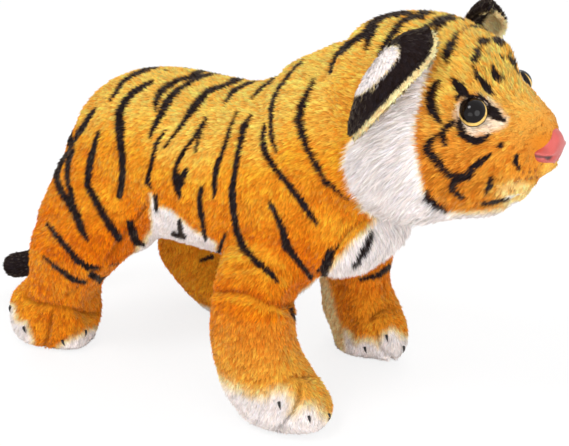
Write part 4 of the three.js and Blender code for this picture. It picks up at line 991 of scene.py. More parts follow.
def pull_seams(body):
    """Makes the skin finer and draws its seams and creases in."""
    finer_skin = body.modifiers.new("finer", "SUBSURF")
    finer_skin.levels = finer_skin.render_levels = 1
    apply_all(body)
    points, normals = coordinates(body), normals_of(body)
    table = tabled(points)
    depth = np.zeros(len(points))
    for part in ("torso", "head", *LEGS):
        mine = part_of(table) == part
        if not mine.any():
            continue
        near, near_normals = to_near_side(table[mine], normals[mine], part)
        places, direct = seen(near), seen(table[mine])
        facing = eased(near_normals @ TO_CAMERA, -0.05, 0.35)
        key = part.split("_")[1] if part.endswith("leg") else part
        amount = facing * crease_depth(places, CREASES[key])
        if part == "left_front_leg":
            amount = crease_depth(direct, CREASES["far_front"])
        depth[mine] = amount
    for centre in EYES:
        gap = np.linalg.norm(table - centre, axis=1)
        depth = np.maximum(depth, SOCKET_DEPTH * np.exp(-((gap / SOCKET_RADIUS) ** 4)))
    set_coordinates(body, off_ground(points - normals * depth[:, None] * MM))


def part_of(table):
    """The name of the part that each point of the body belongs to."""
    above = table[:, 2] > LEG_BORDER
    head = (table - NECK) @ NECK_SLOPE > 0
    front = table[:, 0] > LEGS_PARTED
    names = np.where(table[:, 1] > 0, "left_", "right_").astype(object) + np.where(front, "front_leg", "hind_leg")
    return np.where(above, np.where(head, "head", "torso"), names)


# ---------------------------------------------------------------- finishes
def fill(node, sockets):
    """Sets these values on a node's own sockets."""
    for key, value in sockets.items():
        node.inputs[key].default_value = value


def add_node(tree, kind, sockets=(), **settings):
    """Adds a shader node with its settings and its sockets' values."""
    node = tree.nodes.new("ShaderNode" + kind)
    for key, value in settings.items():
        setattr(node, key, value)
    fill(node, dict(sockets))
    return node


def wire(tree, *links):
    """Joins outputs to inputs: each link is a node, its output, the next node and its input."""
    for start, output, end, socket in links:
        tree.links.new(start.outputs[output], end.inputs[socket])


def new_material(name):
    """A new material, with its node tree and its shader."""
    material = bpy.data.materials.new(name)
    material.use_nodes = True
    return material, material.node_tree, material.node_tree.nodes["Principled BSDF"]


def plush_material(name, rough=0.82):
    """Plush of the colour painted on the piece, with fine streaks and a soft sheen."""
    material, tree, shader = new_material(name)
    painted = add_node(tree, "Attribute", attribute_name="dye")
    where = add_node(tree, "TexCoord")
    streaks = add_node(tree, "TexNoise", {"Scale": 900, "Detail": 3})
    patches = add_node(tree, "TexNoise", {"Scale": 130, "Detail": 4})
    halved = add_node(tree, "Math", {1: 0.5, 2: 0.25}, operation="MULTIPLY_ADD")
    total = add_node(tree, "Math", {1: 0.5}, operation="MULTIPLY_ADD")
    spread = add_node(tree, "MapRange", {"To Min": 0.84, "To Max": 1.14})
    tint = add_node(tree, "Mix", {"Factor": 1}, data_type="RGBA", blend_type="MULTIPLY")
    bump = add_node(tree, "Bump", {"Strength": 0.35, "Distance": 0.0006})
    wire(tree, (where, "Object", streaks, "Vector"), (where, "Object", patches, "Vector"),
         (patches, "Fac", halved, 0), (streaks, "Fac", total, 0), (halved, "Value", total, 2),
         (total, "Value", spread, "Value"), (painted, "Color", tint, "A"), (spread, "Result", tint, "B"),
         (tint, "Result", shader, "Base Color"), (streaks, "Fac", bump, "Height"),
         (bump, "Normal", shader, "Normal"))
    fill(shader, {"Roughness": rough, "Specular IOR Level": 0.06, "Sheen Weight": 0.14, "Sheen Roughness": 0.4,
                  "Sheen Tint": (1, 0.8, 0.56, 1)})
    return material


def moulded_material(name, rough, coat, bumps, mirror=0.5):
    """Moulded plastic in the colours laid on the piece, with a faintly uneven surface."""
    material, tree, shader = new_material(name)
    laid = add_node(tree, "Attribute", attribute_name="dye")
    where = add_node(tree, "TexCoord")
    uneven = add_node(tree, "TexNoise", {"Scale": 420, "Detail": 4})
    spread = add_node(tree, "MapRange", {"To Min": 0.92, "To Max": 1.06})
    tint = add_node(tree, "Mix", {"Factor": 1}, data_type="RGBA", blend_type="MULTIPLY")
    gloss = add_node(tree, "MapRange", {"To Min": rough * 0.8, "To Max": rough * 1.2})
    bump = add_node(tree, "Bump", {"Strength": bumps, "Distance": 0.0002})
    wire(tree, (where, "Object", uneven, "Vector"), (uneven, "Fac", spread, "Value"), (uneven, "Fac", gloss, "Value"),
         (uneven, "Fac", bump, "Height"), (laid, "Color", tint, "A"), (spread, "Result", tint, "B"),
         (tint, "Result", shader, "Base Color"), (gloss, "Result", shader, "Roughness"),
         (bump, "Normal", shader, "Normal"))
    fill(shader, {"Specular IOR Level": mirror, "Coat Weight": coat, "Coat Roughness": 0.03})
    return material


def clouded_material(name, scale, detail, colours, sockets):
    """A plain stuff whose colour wanders a little between two close ones."""
    material, tree, shader = new_material(name)
    where = add_node(tree, "TexCoord")
    cloudy = add_node(tree, "TexNoise", {"Scale": scale, "Detail": detail})
    ramp = add_node(tree, "ValToRGB")
    for stop, colour in zip(ramp.color_ramp.elements, colours):
        stop.color = (*colour, 1)
    wire(tree, (where, "Object", cloudy, "Vector"), (cloudy, "Fac", ramp, "Fac"), (ramp, "Color", shader, "Base Color"))
    fill(shader, sockets)
    return material


def dye(piece, colours):
    """Keeps a colour for each vertex on the piece, where its material reads it."""
    layer = piece.data.color_attributes.new("dye", "FLOAT_COLOR", "POINT")
    layer.data.foreach_set("color", np.column_stack([colours, np.ones(len(colours))]).astype(np.float32).ravel())


# ---------------------------------------------------------------- the pile
# The width of a clump of tufts, how far its tips come together, and where its random numbers start.
CLUMP, CLUMP_PULL, CLUMP_SHIFT = 2.3, 0.62, 1000
# How deep a tuft's root sits, and how high its lowest point lies.
ROOT_DEPTH, PILE_FLOOR = 0.35, 0.05
# How a darker clump turns redder and a lighter one yellower: a power for red, green and blue.
WARM = np.array([0.6, 1.12, 1.7])
# How much darker than the pile the skins are, as painted shade under the pile, and the pile's share of length on the
# tail and the ears.
SKIN_SHADE, EAR_SHADE, TAIL_PILE, EAR_PILE, EAR_DENSITY = 0.8, 0.85, 0.8, 0.6, 1.1
# Four corners and four faces make a tuft.
TUFT_FACES = np.array([[0, 2, 1], [0, 1, 3], [1, 2, 3], [2, 0, 3]])


def tufts(name, roots, normals, colours, ends, lengths, leans, lifts, rng, width):
    """One piece of pile: a closed four-sided tuft at each root, lying along the nap, rounded over like the skin, with
    painted shade at its root and painted light at its tip.
    """
    count = len(roots)
    leans = unit(sideways(leans, normals))
    sway = rng.normal(0, 0.13, count)[:, None]
    leans = unit(leans + np.cross(normals, leans) * sway)
    cell = np.floor(roots / CLUMP).astype(int)
    index = (cell + CLUMP_SHIFT) % LATTICE_SIZE
    drawn = np.stack([LATTICE[index[:, k], index[:, (k + 1) % 3], index[:, (k + 2) % 3]] for k in range(3)], 1)
    lifts = (lifts * rng.uniform(0.6, 1.35, count) * (0.6 + 0.8 * drawn[:, 0]))[:, None]
    ways = leans * np.cos(lifts) + normals * np.sin(lifts)
    across = unit(np.cross(ways, normals))
    second = np.cross(ways, across)
    half = (width * rng.uniform(0.75, 1.25, count) / 2)[:, None]
    start = roots - normals * ROOT_DEPTH
    spun = rng.uniform(0, 2 * np.pi, count)
    corners = []
    for third in range(3):
        angle = (spun + third * 2 * np.pi / 3)[:, None]
        corners.append(start + (across * np.cos(angle) + second * np.sin(angle)) * half)
    middle = sideways((cell + 0.25 + 0.5 * drawn) * CLUMP - roots, normals)
    tips = start + ways * lengths[:, None] + middle * CLUMP_PULL
    shade = 0.64 + 0.74 * drawn[:, 1:2]
    # Painted shade and light: each tuft is darker at its root and lighter at its tip, less so on pale pile; each
    # clump's tone varies at random.
    pale_root, pale_end = eased(colours[:, 2:], 0.12, 0.65), eased(ends[:, 2:], 0.12, 0.65)
    colours = colours * (1 + (shade - 1) * (1 - 0.85 * pale_root)) ** WARM * (0.52 + 0.42 * pale_root)
    ends = ends * (1 + (shade - 1) * (1 - 0.85 * pale_end)) ** WARM * (1.22 - 0.16 * pale_end)
    points = np.stack([*corners, tips], 1)
    points[..., 2] = np.maximum(points[..., 2], PILE_FLOOR)
    faces = (np.arange(count)[:, None, None] * 4 + TUFT_FACES[None]).reshape(-1, 3)
    mesh = bpy.data.meshes.new(name)
    mesh.vertices.add(count * 4)
    mesh.vertices.foreach_set("co", placed(points.reshape(-1, 3)).astype(np.float32).ravel())
    mesh.loops.add(len(faces) * 3)
    mesh.loops.foreach_set("vertex_index", faces.astype(np.int32).ravel())
    mesh.polygons.add(len(faces))
    mesh.polygons.foreach_set("loop_start", np.arange(0, len(faces) * 3, 3, dtype=np.int32))
    mesh.update(calc_edges=True)
    mesh.shade_smooth()
    piece = bpy.data.objects.new(name, mesh)
    bpy.context.scene.collection.objects.link(piece)
    dye(piece, np.clip(np.stack([colours] * 3 + [ends], 1).reshape(-1, 3), 0.002, 1))
    along = np.repeat(ways, 4, 0)
    own = unit(sideways((points - points.mean(1, keepdims=True)).reshape(-1, 3), along))
    uneven = (drawn - 0.5) * (0.8 - 0.5 * pale_end)
    soft = unit(np.repeat(normals, 4, 0) + own * 0.5 + np.repeat(uneven, 4, 0))
    mesh.normals_split_custom_set_from_vertices(soft.astype(np.float32).tolist())
    bake_squares(mesh, count)
    return piece


def bake_squares(mesh, count):
    """Gives each tuft its own small square of a flat map."""
    layer = mesh.uv_layers.new(name="OFBake")
    across = int(math.ceil(math.sqrt(count)))
    corner = np.stack([np.arange(count) % across, np.arange(count) // across], 1) / across
    size = 1 / across
    shape = np.array([[0.15, 0.15], [0.85, 0.15], [0.15, 0.85], [0.85, 0.85]]) * size
    order = TUFT_FACES.ravel()
    flat = (corner[:, None] + shape[order][None]).astype(np.float32)
    layer.data.foreach_set("uv", flat.ravel())


def scatter(body, rng, density):
    """Even random places over a skin, in millimetres, with the skin's soft normals."""
    mesh = body.data
    mesh.calc_loop_triangles()
    corners = np.empty(len(mesh.loop_triangles) * 3, np.int32)
    mesh.loop_triangles.foreach_get("vertices", corners)
    corners = corners.reshape(-1, 3)
    points, normals = tabled(coordinates(body)), normals_of(body)
    a, b, c = (points[corners[:, k]] for k in range(3))
    area = np.linalg.norm(np.cross(b - a, c - a), axis=1) / 2
    count = int(area.sum() * density)
    chosen = rng.choice(len(area), count, p=area / area.sum())
    first, second = rng.random(count), rng.random(count)
    over = first + second > 1
    first[over], second[over] = 1 - first[over], 1 - second[over]
    weights = np.stack([1 - first - second, first, second], 1)[:, :, None]
    triangle = corners[chosen]
    return (points[triangle] * weights).sum(1), unit((normals[triangle] * weights).sum(1))


def nap(points, normals, part, white):
    """Which way the pile lies, how long it is and how far it lifts, as shares of the plain pile."""
    sizes = bpy.context.scene.tiger_pile
    count = len(points)
    length, lift = np.ones(count), np.ones(count)
    swirl = (clouds(points, 11.0) - 0.5) * 1.1
    if part == "head":
        from_nose = unit(points - (NOSE_CENTRE - [14, 0, -6]))
        ruff = eased(158 - points[:, 0], -6, 12) * white
        lean = from_nose + np.array([0, 0, -0.35]) * eased(235 - points[:, 2], 0, 30)[:, None]
        lean = lean + ruff[:, None] * (np.array([-0.5, 0, -0.9]) + unit(points * (0, 1, 0)) * 0.5)
        near_nose = eased(50 - np.linalg.norm(points - NOSE_CENTRE, axis=1), 0, 38)
        length = 1.12 - 0.65 * near_nose + ruff * (sizes.ruff / sizes.length - 1.12)
        lift = 0.85 - 0.4 * near_nose + 0.5 * ruff
    elif part.endswith("leg"):
        lean = np.array([-0.25, 0, -1.0]) + np.zeros((count, 3))
        low = eased(24 - points[:, 2], 0, 16)
        middle = np.column_stack([*leg_line(part, points[:, 2]), points[:, 2]])
        lean = lean + low[:, None] * (unit(points - middle) * 0.8)
        length = 0.95 - 0.25 * low
    elif part == "torso":
        down = eased(230 - points[:, 2], 0, 62)[:, None]
        lean = np.array([-1.0, 0, -0.1]) + down * np.array([0.58, 0, -0.95])
        lean = lean + (eased(points[:, 0], 60, 110) * white)[:, None] * np.array([0.9, 0, -0.9])
        length = 1 + 0.6 * white * eased(points[:, 0], 40, 90)
    else:
        lean = np.zeros((count, 3))
    return lean + np.cross(normals, lean) * swirl[:, None] * 0.45, length, lift


def pile(name, part, points, normals, seat, rng, pieces=1, lean=None, length=None):
    """Covers places of a part with tufts, in so many pieces, and hands each to its seat."""
    sizes = bpy.context.scene.tiger_pile
    _, white = paint(points, normals, part)
    own_lean, share, lift = nap(points, normals, part, white)
    lean = own_lean if lean is None else lean
    lengths = sizes.length / MM * (share if length is None else length) * rng.uniform(0.7, 1.2, len(points))
    lying = unit(sideways(lean, normals))
    colours, _ = paint(points + lying * (lengths * 0.32)[:, None], normals, part)
    ends, _ = paint(points + lying * (lengths * 0.6)[:, None], normals, part)
    shade = (0.84 + 0.32 * clouds(points, 6.0)) * rng.normal(1, 0.11, len(points))
    shade = shade[:, None] * (1 + rng.normal(0, 0.02, (len(points), 3)))
    colours, ends = colours * shade, ends * shade
    material = bpy.data.materials.get("plush pile") or plush_material("plush pile")
    order = np.argsort(points[:, 0], kind="stable")
    for number, mine in enumerate(np.array_split(order, pieces), 1):
        piece = tufts(name if pieces == 1 else f"{name}_{number}", points[mine], normals[mine], colours[mine],
                      ends[mine], lengths[mine], lean[mine], np.full(len(mine), sizes.lift) * lift[mine], rng,
                      sizes.width / MM)
        piece.data.materials.append(material)
        seat(piece)


# ---------------------------------------------------------------- cutting the skin into pieces
def half_of(source, name, point, normal):
    """A closed copy of the part of source on the side that normal points to."""
    piece = twin(source, name)
    edit(piece,
         lambda: bpy.ops.mesh.bisect(plane_co=point, plane_no=normal, use_fill=True, clear_inner=True,
                                     clear_outer=False),
         lambda: bpy.ops.mesh.quads_convert_to_tris(quad_method="BEAUTY", ngon_method="BEAUTY"))
    return piece


def loose_parts(piece):
    """Splits a piece into its separate shells."""
    pick(piece)
    bpy.ops.mesh.separate(type="LOOSE")
    return list(bpy.context.selected_objects)


def seat_on(part):
    """How a piece of this part of the body is set: its placement is baked into its mesh."""
    if part == "torso":
        return lambda piece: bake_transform(piece)
    if part == "head":
        return lambda piece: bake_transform(piece)
    return lambda piece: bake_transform(piece)


class TIGER_OT_skin(bpy.types.Operator):
    """Sews and stuffs the torso, the head and the four legs, and lays their pile"""
    bl_idname = "tiger.skin"
    bl_label = "Stuffed Skin and Pile"

    def execute(self, context):
        body = body_form()
        level = spot(0, 0, LEG_BORDER)
        slope = Vector(NECK_SLOPE)
        upper = half_of(body, "upper", level, (0, 0, 1))
        lower = half_of(body, "lower", level, (0, 0, -1))
        skins = {"torso": half_of(upper, "torso_skin", spot(*NECK), -slope),
                 "head": half_of(upper, "head_skin", spot(*NECK), slope)}
        for piece in loose_parts(lower):
            centre = tabled(coordinates(piece)).mean(0)
            part = ("left" if centre[1] > 0 else "right") + ("_front_leg" if centre[0] > LEGS_PARTED else "_hind_leg")
            piece.name = part + "_skin"
            skins[part] = piece
        if set(skins) != {"torso", "head", *LEGS}:
            raise RuntimeError(f"the skin came apart as {sorted(skins)}")
        backing = plush_material("plush backing", 0.9)
        replaced = {
            "torso": ("torso_cover", "belly_panel", "chest_panel", "torso_stuffing", "neck_cover", "throat_panel",
                      "neck_stuffing"),
            "head": ("head_cover", "ruff", "muzzle", "chin", "head_stuffing"),
        }
        rng = np.random.default_rng(SEED)
        for part, piece in skins.items():
            piece.data.materials.clear()
            piece.data.materials.append(backing)
            piece.data.shade_smooth()
            points, normals = tabled(coordinates(piece)), normals_of(piece)
            dye(piece, paint(points, normals, part)[0] * SKIN_SHADE)
            seat_on(part)(piece)
            base = part[:-3]
            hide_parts(*replaced.get(part, (part + "_cover", part + "_stuffing", base + "toes", base + "sole")))
        points, normals = scatter(body, rng, context.scene.tiger_pile.density)
        clear = np.linalg.norm((points - NOSE_CENTRE) / NOSE_RADII, axis=1) > NOSE_CLEARING
        for centre in EYES:
            clear &= np.linalg.norm(points - centre, axis=1) > EYE_CLEARING
        points, normals = points[clear], normals[clear]
        parts = part_of(points)
        for part, pieces in (("torso", 4), ("head", 2), *((leg, 1) for leg in LEGS)):
            mine = parts == part
            pile(part + "_pile", part, points[mine], normals[mine], seat_on(part), rng, pieces)
        for extra in (body, upper):
            bpy.data.objects.remove(extra)
        return {"FINISHED"}


class TIGER_OT_tail(bpy.types.Operator):
    """Shapes the tail, sets it on the rump and lays its pile"""
    bl_idname = "tiger.tail"
    bl_label = "Tail"

    def execute(self, context):
        radius = TAIL_RADIUS - context.scene.tiger_pile.skin_depth / MM
        tangents = unit(np.gradient(TAIL_LINE, axis=0))
        rings = []
        for point, tangent in zip(TAIL_LINE, tangents):
            upward = unit(np.cross(tangent, (0, 1, 0)))
            rings.append(ring(point, np.cross(upward, tangent), upward, radius, radius, TAIL_SIDES, 2.0))
        tip, onward = TAIL_LINE[-1], tangents[-1]
        upward = unit(np.cross(onward, (0, 1, 0)))
        for angle in TAIL_CAP_ANGLES:
            reach, size = math.sin(math.radians(angle)), math.cos(math.radians(angle))
            rings.append(ring(tip + onward * radius * reach, np.cross(upward, onward), upward,
                              radius * size, radius * size, TAIL_SIDES, 2.0))
        whole = loft("tail_form", rings, TAIL_LINE[0], tip + onward * radius)
        upper = half_of(whole, "tail_upper_skin", spot(*TAIL_MIDDLE), -TAIL_ALONG)
        lower = half_of(whole, "tail_lower_skin", spot(*TAIL_MIDDLE), TAIL_ALONG)

        def seat_upper(piece):
            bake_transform(piece)

        def seat_lower(piece):
            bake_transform(piece)

        rng = np.random.default_rng(SEED + 1)
        places, normals = scatter(whole, rng, context.scene.tiger_pile.density)
        nearest = nearest_on_tail(places)
        lean = tangents[nearest] + (places - TAIL_LINE[nearest]) * 0.02
        below = (places - TAIL_MIDDLE) @ TAIL_ALONG > 0
        for piece, mine, seat, name, nodes in (
                (upper, ~below, seat_upper, "tail_upper_pile", ("tail_upper_cover", "tail_upper_stuffing")),
                (lower, below, seat_lower, "tail_lower_pile", ("tail_lower_cover", "tail_lower_stuffing", "tail_tip"))):
            piece.data.materials.append(bpy.data.materials["plush backing"])
            piece.data.shade_smooth()
            dye(piece, paint(tabled(coordinates(piece)), normals_of(piece), "tail")[0] * SKIN_SHADE)
            seat(piece)
            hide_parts(*nodes)
            pile(name, "tail", places[mine], normals[mine], seat, rng, 1, lean[mine],
                 np.full(mine.sum(), TAIL_PILE))
        bpy.data.objects.remove(whole)
        return {"FINISHED"}


def head_point(shares, side):
    """A place of the ears' tables on the left or the right of the head."""
    along, out, up = shares
    return np.array([HEAD_REAR + along * HEAD_LENGTH, side * out * HEAD_WIDTH, HEAD_BASE + up * HEAD_HEIGHT])


def ear_rings(side, layer, near, far):
    """Rings of one layer of an ear: each a band from the base over the crown to the rim, of the layer's thickness."""
    rings = []
    spine = head_point(EAR_RIM[-1], side) - head_point(EAR_RIM[0], side)
    for rows in zip(*(finer(table, CURVE_STEPS) for table in (EAR_BASE, EAR_CROWN, EAR_RIM))):
        base, crown, rim = (head_point(row, side) for row in rows)
        if side > 0:
            base, crown, rim = base + FAR_EAR_BASE, crown + FAR_EAR_BASE, rim + FAR_EAR_RIM
        rim = rim + EAR_SPREAD * (1, -side, 1) * (LINING_SPREAD if layer == "lining" else BACK_SPREAD)
        outside, inside = [], []
        for t in np.arange(EAR_STEPS + 1) / EAR_STEPS:
            tangent = unit(2 * (1 - t) * (crown - base) + 2 * t * (rim - crown))
            normal = unit(np.cross(tangent, spine)) * side
            point = (1 - t) ** 2 * base + 2 * t * (1 - t) * crown + t * t * rim
            outside.append(point + normal * far)
            inside.insert(0, point + normal * near)
        rings.append(np.array(outside + inside))
    return rings


class TIGER_OT_ears(bpy.types.Operator):
    """Makes the two cupped ears, each a back and a lining, with their pile"""
    bl_idname = "tiger.ears"
    bl_label = "Ears"

    def execute(self, context):
        rng = np.random.default_rng(SEED + 2)
        for side, name in SIDES:
            for layer, near, far in EAR_LAYERS:
                rings = ear_rings(side, layer, near, far)
                ear = loft(f"{name}_ear_{layer}_skin", rings, rings[0].mean(0), rings[-1].mean(0))
                ear.data.materials.append(bpy.data.materials["plush backing"])
                ear.data.shade_smooth()
                dye(ear, paint(tabled(coordinates(ear)), normals_of(ear), f"ear_{layer}")[0] * EAR_SHADE)
                body = f"{name}_ear"
                places, ways = scatter(ear, rng, context.scene.tiger_pile.density * EAR_DENSITY)
                middle = np.array([head_point(row, side) for row in EAR_BASE]).mean(0)
                lean = unit(places - middle) + np.array([-0.2, 0, -0.3])
                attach(ear, body)
                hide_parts(f"{name}_ear_{layer}")
                pile(f"{name}_ear_{layer}_pile", f"ear_{layer}", places, ways,
                     lambda piece, body=body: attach(piece, body), rng, 1, lean, np.full(len(places), EAR_PILE))
        return {"FINISHED"}


class TIGER_OT_eyes(bpy.types.Operator):
    """Moulds a domed safety eye with its post, and sets one on each side of the face"""
    bl_idname = "tiger.eyes"
    bl_label = "Eyes"

    def execute(self, context):
        tone = Palette()
        material = moulded_material("cast eye", 0.05, 0.12, 0.02, 0.14)
        angles = np.radians(np.linspace(0, DOME_ANGLE, DOME_STEPS))
        profile = [(EYE_RADIUS * math.sin(a), EYE_RADIUS * math.cos(a)) for a in angles]
        profile += EYE_POST
        eye = mesh_object("eye", np.array([(r, 0, z) for r, z in profile]) * MM, [])
        eye.data.edges.add(len(profile) - 1)
        eye.data.edges.foreach_set("vertices", np.stack([np.arange(len(profile) - 1), np.arange(1, len(profile))],
                                                        1).astype(np.int32).ravel())
        edit(eye, lambda: bpy.ops.mesh.spin(steps=EYE_TURNS, angle=2 * math.pi, center=(0, 0, 0), axis=(0, 0, 1)),
             lambda: bpy.ops.mesh.remove_doubles(threshold=0.00001),
             lambda: bpy.ops.mesh.normals_make_consistent(inside=False))
        facing = unit(EYE_FACING)
        turn = Vector((0, 0, 1)).rotation_difference(Vector(facing)).to_matrix().to_4x4()
        eye.data.transform(turn)
        table = coordinates(eye) / MM
        ahead = table @ facing
        flat = table - facing * ahead[:, None]
        aside = PUPIL_WAY - facing * (PUPIL_WAY @ facing)
        pupil = np.linalg.norm(flat - aside * PUPIL_ASIDE, axis=1)
        reach = np.linalg.norm(flat, axis=1)
        shine = 0.75 + 0.6 * clouds(table * 4, 3.0)
        colours = np.repeat(tone.black[None] * 0.25, len(table), 0)
        gold = eased(pupil, PUPIL_RADIUS, GOLD_START) * eased(GOLD_RADIUS - reach, 0, 0.25) * (ahead > 0.5)
        dye(eye, mixed(colours, tone.iris * shine[:, None], gold))
        eye.data.materials.append(material)
        eye.data.shade_smooth()
        for side, name in SIDES:
            piece = twin(eye, f"{name}_eye_dome")
            place = placed((EYE_CENTRE - facing * EYE_SUNK) * (1, side, 1))
            set_coordinates(piece, coordinates(eye) * (1, side, 1) + place)
            outwards(piece)
            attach(piece, "head")
            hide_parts(f"{name}_eye")
        bpy.data.objects.remove(eye)
        return {"FINISHED"}


class TIGER_OT_nose(bpy.types.Operator):
    """Moulds the nose: broad above, narrow below, with its wings, nostrils and middle groove, and painted shade in the
    nostrils, the groove and its lower side
    """
    bl_idname = "tiger.nose"
    bl_label = "Nose"

    def execute(self, context):
        tone = Palette()
        deselect()
        bpy.ops.mesh.primitive_uv_sphere_add(segments=64, ring_count=48, radius=MM, rotation=(0, math.pi / 2, 0))
        nose = context.object
        nose.name = "nose_leather"
        bpy.ops.object.transform_apply(location=True, rotation=True, scale=True)
        ball = coordinates(nose) / MM
        x, y, z = ball.T
        narrow = np.column_stack([np.ones(len(x)), 0.4 + 0.6 * eased(z, -0.7, -0.2), np.ones(len(x))])
        shape = np.sign(ball) * np.abs(ball) ** (0.82, 0.95, 0.95) * NOSE_RADII * narrow
        shape[:, 2] -= 6.0 * eased(np.abs(y), 0.12, 0.7) * eased(z, -0.1, 0.9)
        # dark is painted shade: black in the nostril hollows.
        dark = np.zeros(len(x))
        for side, _ in SIDES:
            aside = side * y
            wing = np.exp(-((aside - 0.72) / 0.3) ** 2 - ((z - 0.16) / 0.24) ** 2) * eased(x, -0.3, 0.3)
            shape += wing[:, None] * np.array([0.7, side * 0.5, -0.2])
            under = z - 0.04 + 0.36 * (0.98 - aside)
            slit = np.exp(-((under / 0.09) ** 2)) * eased(aside, 0.34, 0.5)
            hole = np.exp(-((aside - 0.62) / 0.2) ** 2 - ((under + 0.03) / 0.15) ** 2)
            hollow = np.maximum(slit * 0.9, hole) * eased(x, -0.6, -0.2)
            shape[:, 0] -= 2.4 * hollow
            dark = np.maximum(dark, hollow)
        groove = np.exp(-((y / 0.08) ** 2)) * eased(-z, 0.05, 0.4) * eased(x, 0, 0.4)
        shape[:, 0] += 0.1 * z * NOSE_RADII[2] - 0.9 * groove
        colours = np.repeat(tone.nose[None], len(x), 0) * (0.92 + 0.16 * clouds(shape, 4.0))[:, None]
        # Painted shade: darker red in the middle groove and towards the bottom, and black in the nostril hollows.
        colours = mixed(colours, tone.nose * (0.7, 0.46, 0.46), 0.5 * groove + 0.45 * eased(0.55 - z, 0, 1.1))
        dye(nose, mixed(colours, tone.black, eased(dark, 0.35, 0.85) * 0.9))
        set_coordinates(nose, placed(shape + NOSE_CENTRE))
        outwards(nose)
        nose.data.materials.append(moulded_material("soft vinyl", 0.4, 0.12, 0.25))
        nose.data.shade_smooth()
        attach(nose, "head")
        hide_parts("nose")
        return {"FINISHED"}


# Where each claw shows in the photograph's view.
CLAWS = {"right_front_leg": [(280, 405), (309, 419), (327, 417)], "left_front_leg": [(366, 349), (387, 338)],
         "right_hind_leg": [(12, 309), (25, 329), (64, 342), (84, 333)]}
CLAW_LENGTH, CLAW_RADIUS, CLAW_STAND = 6.0, 1.0, 1.2
# How far from the camera a claw is sought whose line misses the leg.
PAW_DISTANCE = 820


def skin_tree(leg):
    """The skin of a leg, in millimetres, as a tree that finds places on it."""
    skin = bpy.data.objects[leg + "_skin"]
    return BVHTree.FromPolygons(tabled(coordinates(skin)).tolist(),
                                [tuple(face.vertices) for face in skin.data.polygons])


def shown_claws(leg, shown):
    """Place and normal on a leg's skin of each claw that the photograph shows."""
    tree, made = skin_tree(leg), []
    for across, down in shown:
        ray = -TO_CAMERA + CAMERA_RIGHT * (across - VIEW_MIDDLE[0]) / FOCAL \
            - CAMERA_UP * (down - VIEW_MIDDLE[1]) / FOCAL
        place, normal, _, _ = tree.ray_cast(Vector(CAMERA_PLACE), Vector(ray).normalized())
        if place is None:
            place, normal, _, _ = tree.find_nearest(Vector(CAMERA_PLACE + unit(ray) * PAW_DISTANCE))
        made.append((np.array(place), np.array(normal)))
    return made


def mirrored_claws(near, far, claws):
    """The same claws on the far leg, at the nearest places of its skin."""
    tree, made = skin_tree(far), []
    for place, normal in claws:
        near_x, near_y = leg_line(near, place[2:3])
        far_x, far_y = leg_line(far, place[2:3])
        guess = np.array([place[0] + far_x[0] - near_x[0], far_y[0] - (place[1] - near_y[0]), place[2]])
        found, facing, _, _ = tree.find_nearest(Vector(guess))
        made.append((np.array(found), unit(np.array(facing) + normal * (1, -1, 1))))
    return made


class TIGER_OT_claws(bpy.types.Operator):
    """Shapes a small dark claw, and sets its copies over the toes"""
    bl_idname = "tiger.claws"
    bl_label = "Claws"

    def execute(self, context):
        tone = Palette()
        deselect()
        bpy.ops.mesh.primitive_cone_add(vertices=10, radius1=CLAW_RADIUS * MM, radius2=CLAW_RADIUS * 0.2 * MM,
                                        depth=CLAW_LENGTH * MM, end_fill_type="TRIFAN")
        claw = context.object
        edit(claw, lambda: bpy.ops.mesh.subdivide(number_cuts=3))
        form = coordinates(claw) / MM
        share = form[:, 2] / CLAW_LENGTH + 0.5
        form[:, :2] *= (0.75 + 0.5 * np.sin(np.pi * np.clip(share + 0.15, 0, 1)))[:, None]
        form[:, 0] += 1.4 * (0.25 - (share - 0.5) ** 2) * 2
        material = moulded_material("claw thread", 0.45, 0.0, 0.5)
        spots = {leg: shown_claws(leg, CLAWS.get(leg, [])) for leg in LEGS}
        for near, far in (("right_hind_leg", "left_hind_leg"), ("right_front_leg", "left_front_leg")):
            spots[far] += mirrored_claws(near, far, spots[near] if "hind" in near else spots[near][2:])
        for leg, claws in spots.items():
            made = []
            for place, normal in claws:
                down = np.array([0.25, 0, -1.0])
                down = unit(down - normal * (down @ normal))
                aside = np.cross(down, normal)
                points = place + normal * CLAW_STAND + form[:, :1] * normal + form[:, 1:2] * aside \
                    + form[:, 2:3] * down
                piece = twin(claw, "claw")
                set_coordinates(piece, placed(points))
                made.append(piece)
            pick(*made)
            bpy.ops.object.join()
            piece = context.object
            piece.name = leg[:-4] + "_claws"
            outwards(piece)
            colours = np.repeat(tone.black[None] * 0.6, len(piece.data.vertices), 0)
            dye(piece, colours * (0.7 + 0.6 * clouds(tabled(coordinates(piece)), 0.8))[:, None])
            piece.data.materials.append(material)
            piece.data.shade_smooth()
            seat_on(leg)(piece)
        bpy.data.objects.remove(claw)
        return {"FINISHED"}


class TIGER_OT_washers(bpy.types.Operator):
    """Finishes the lock washers that hold the eyes and the nose inside the head"""
    bl_idname = "tiger.washers"
    bl_label = "Lock Washers"

    def execute(self, context):
        material = clouded_material("washer plastic", 260, 5, [(0.55, 0.54, 0.5), (0.78, 0.77, 0.73)],
                                    {"Roughness": 0.42})
        for name in ("right_eye_washer", "left_eye_washer", "nose_washer"):
            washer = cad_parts[name]
            if not washer.material_slots:
                washer.data.materials.append(material)
            for slot in washer.material_slots:
                slot.material = material
        return {"FINISHED"}


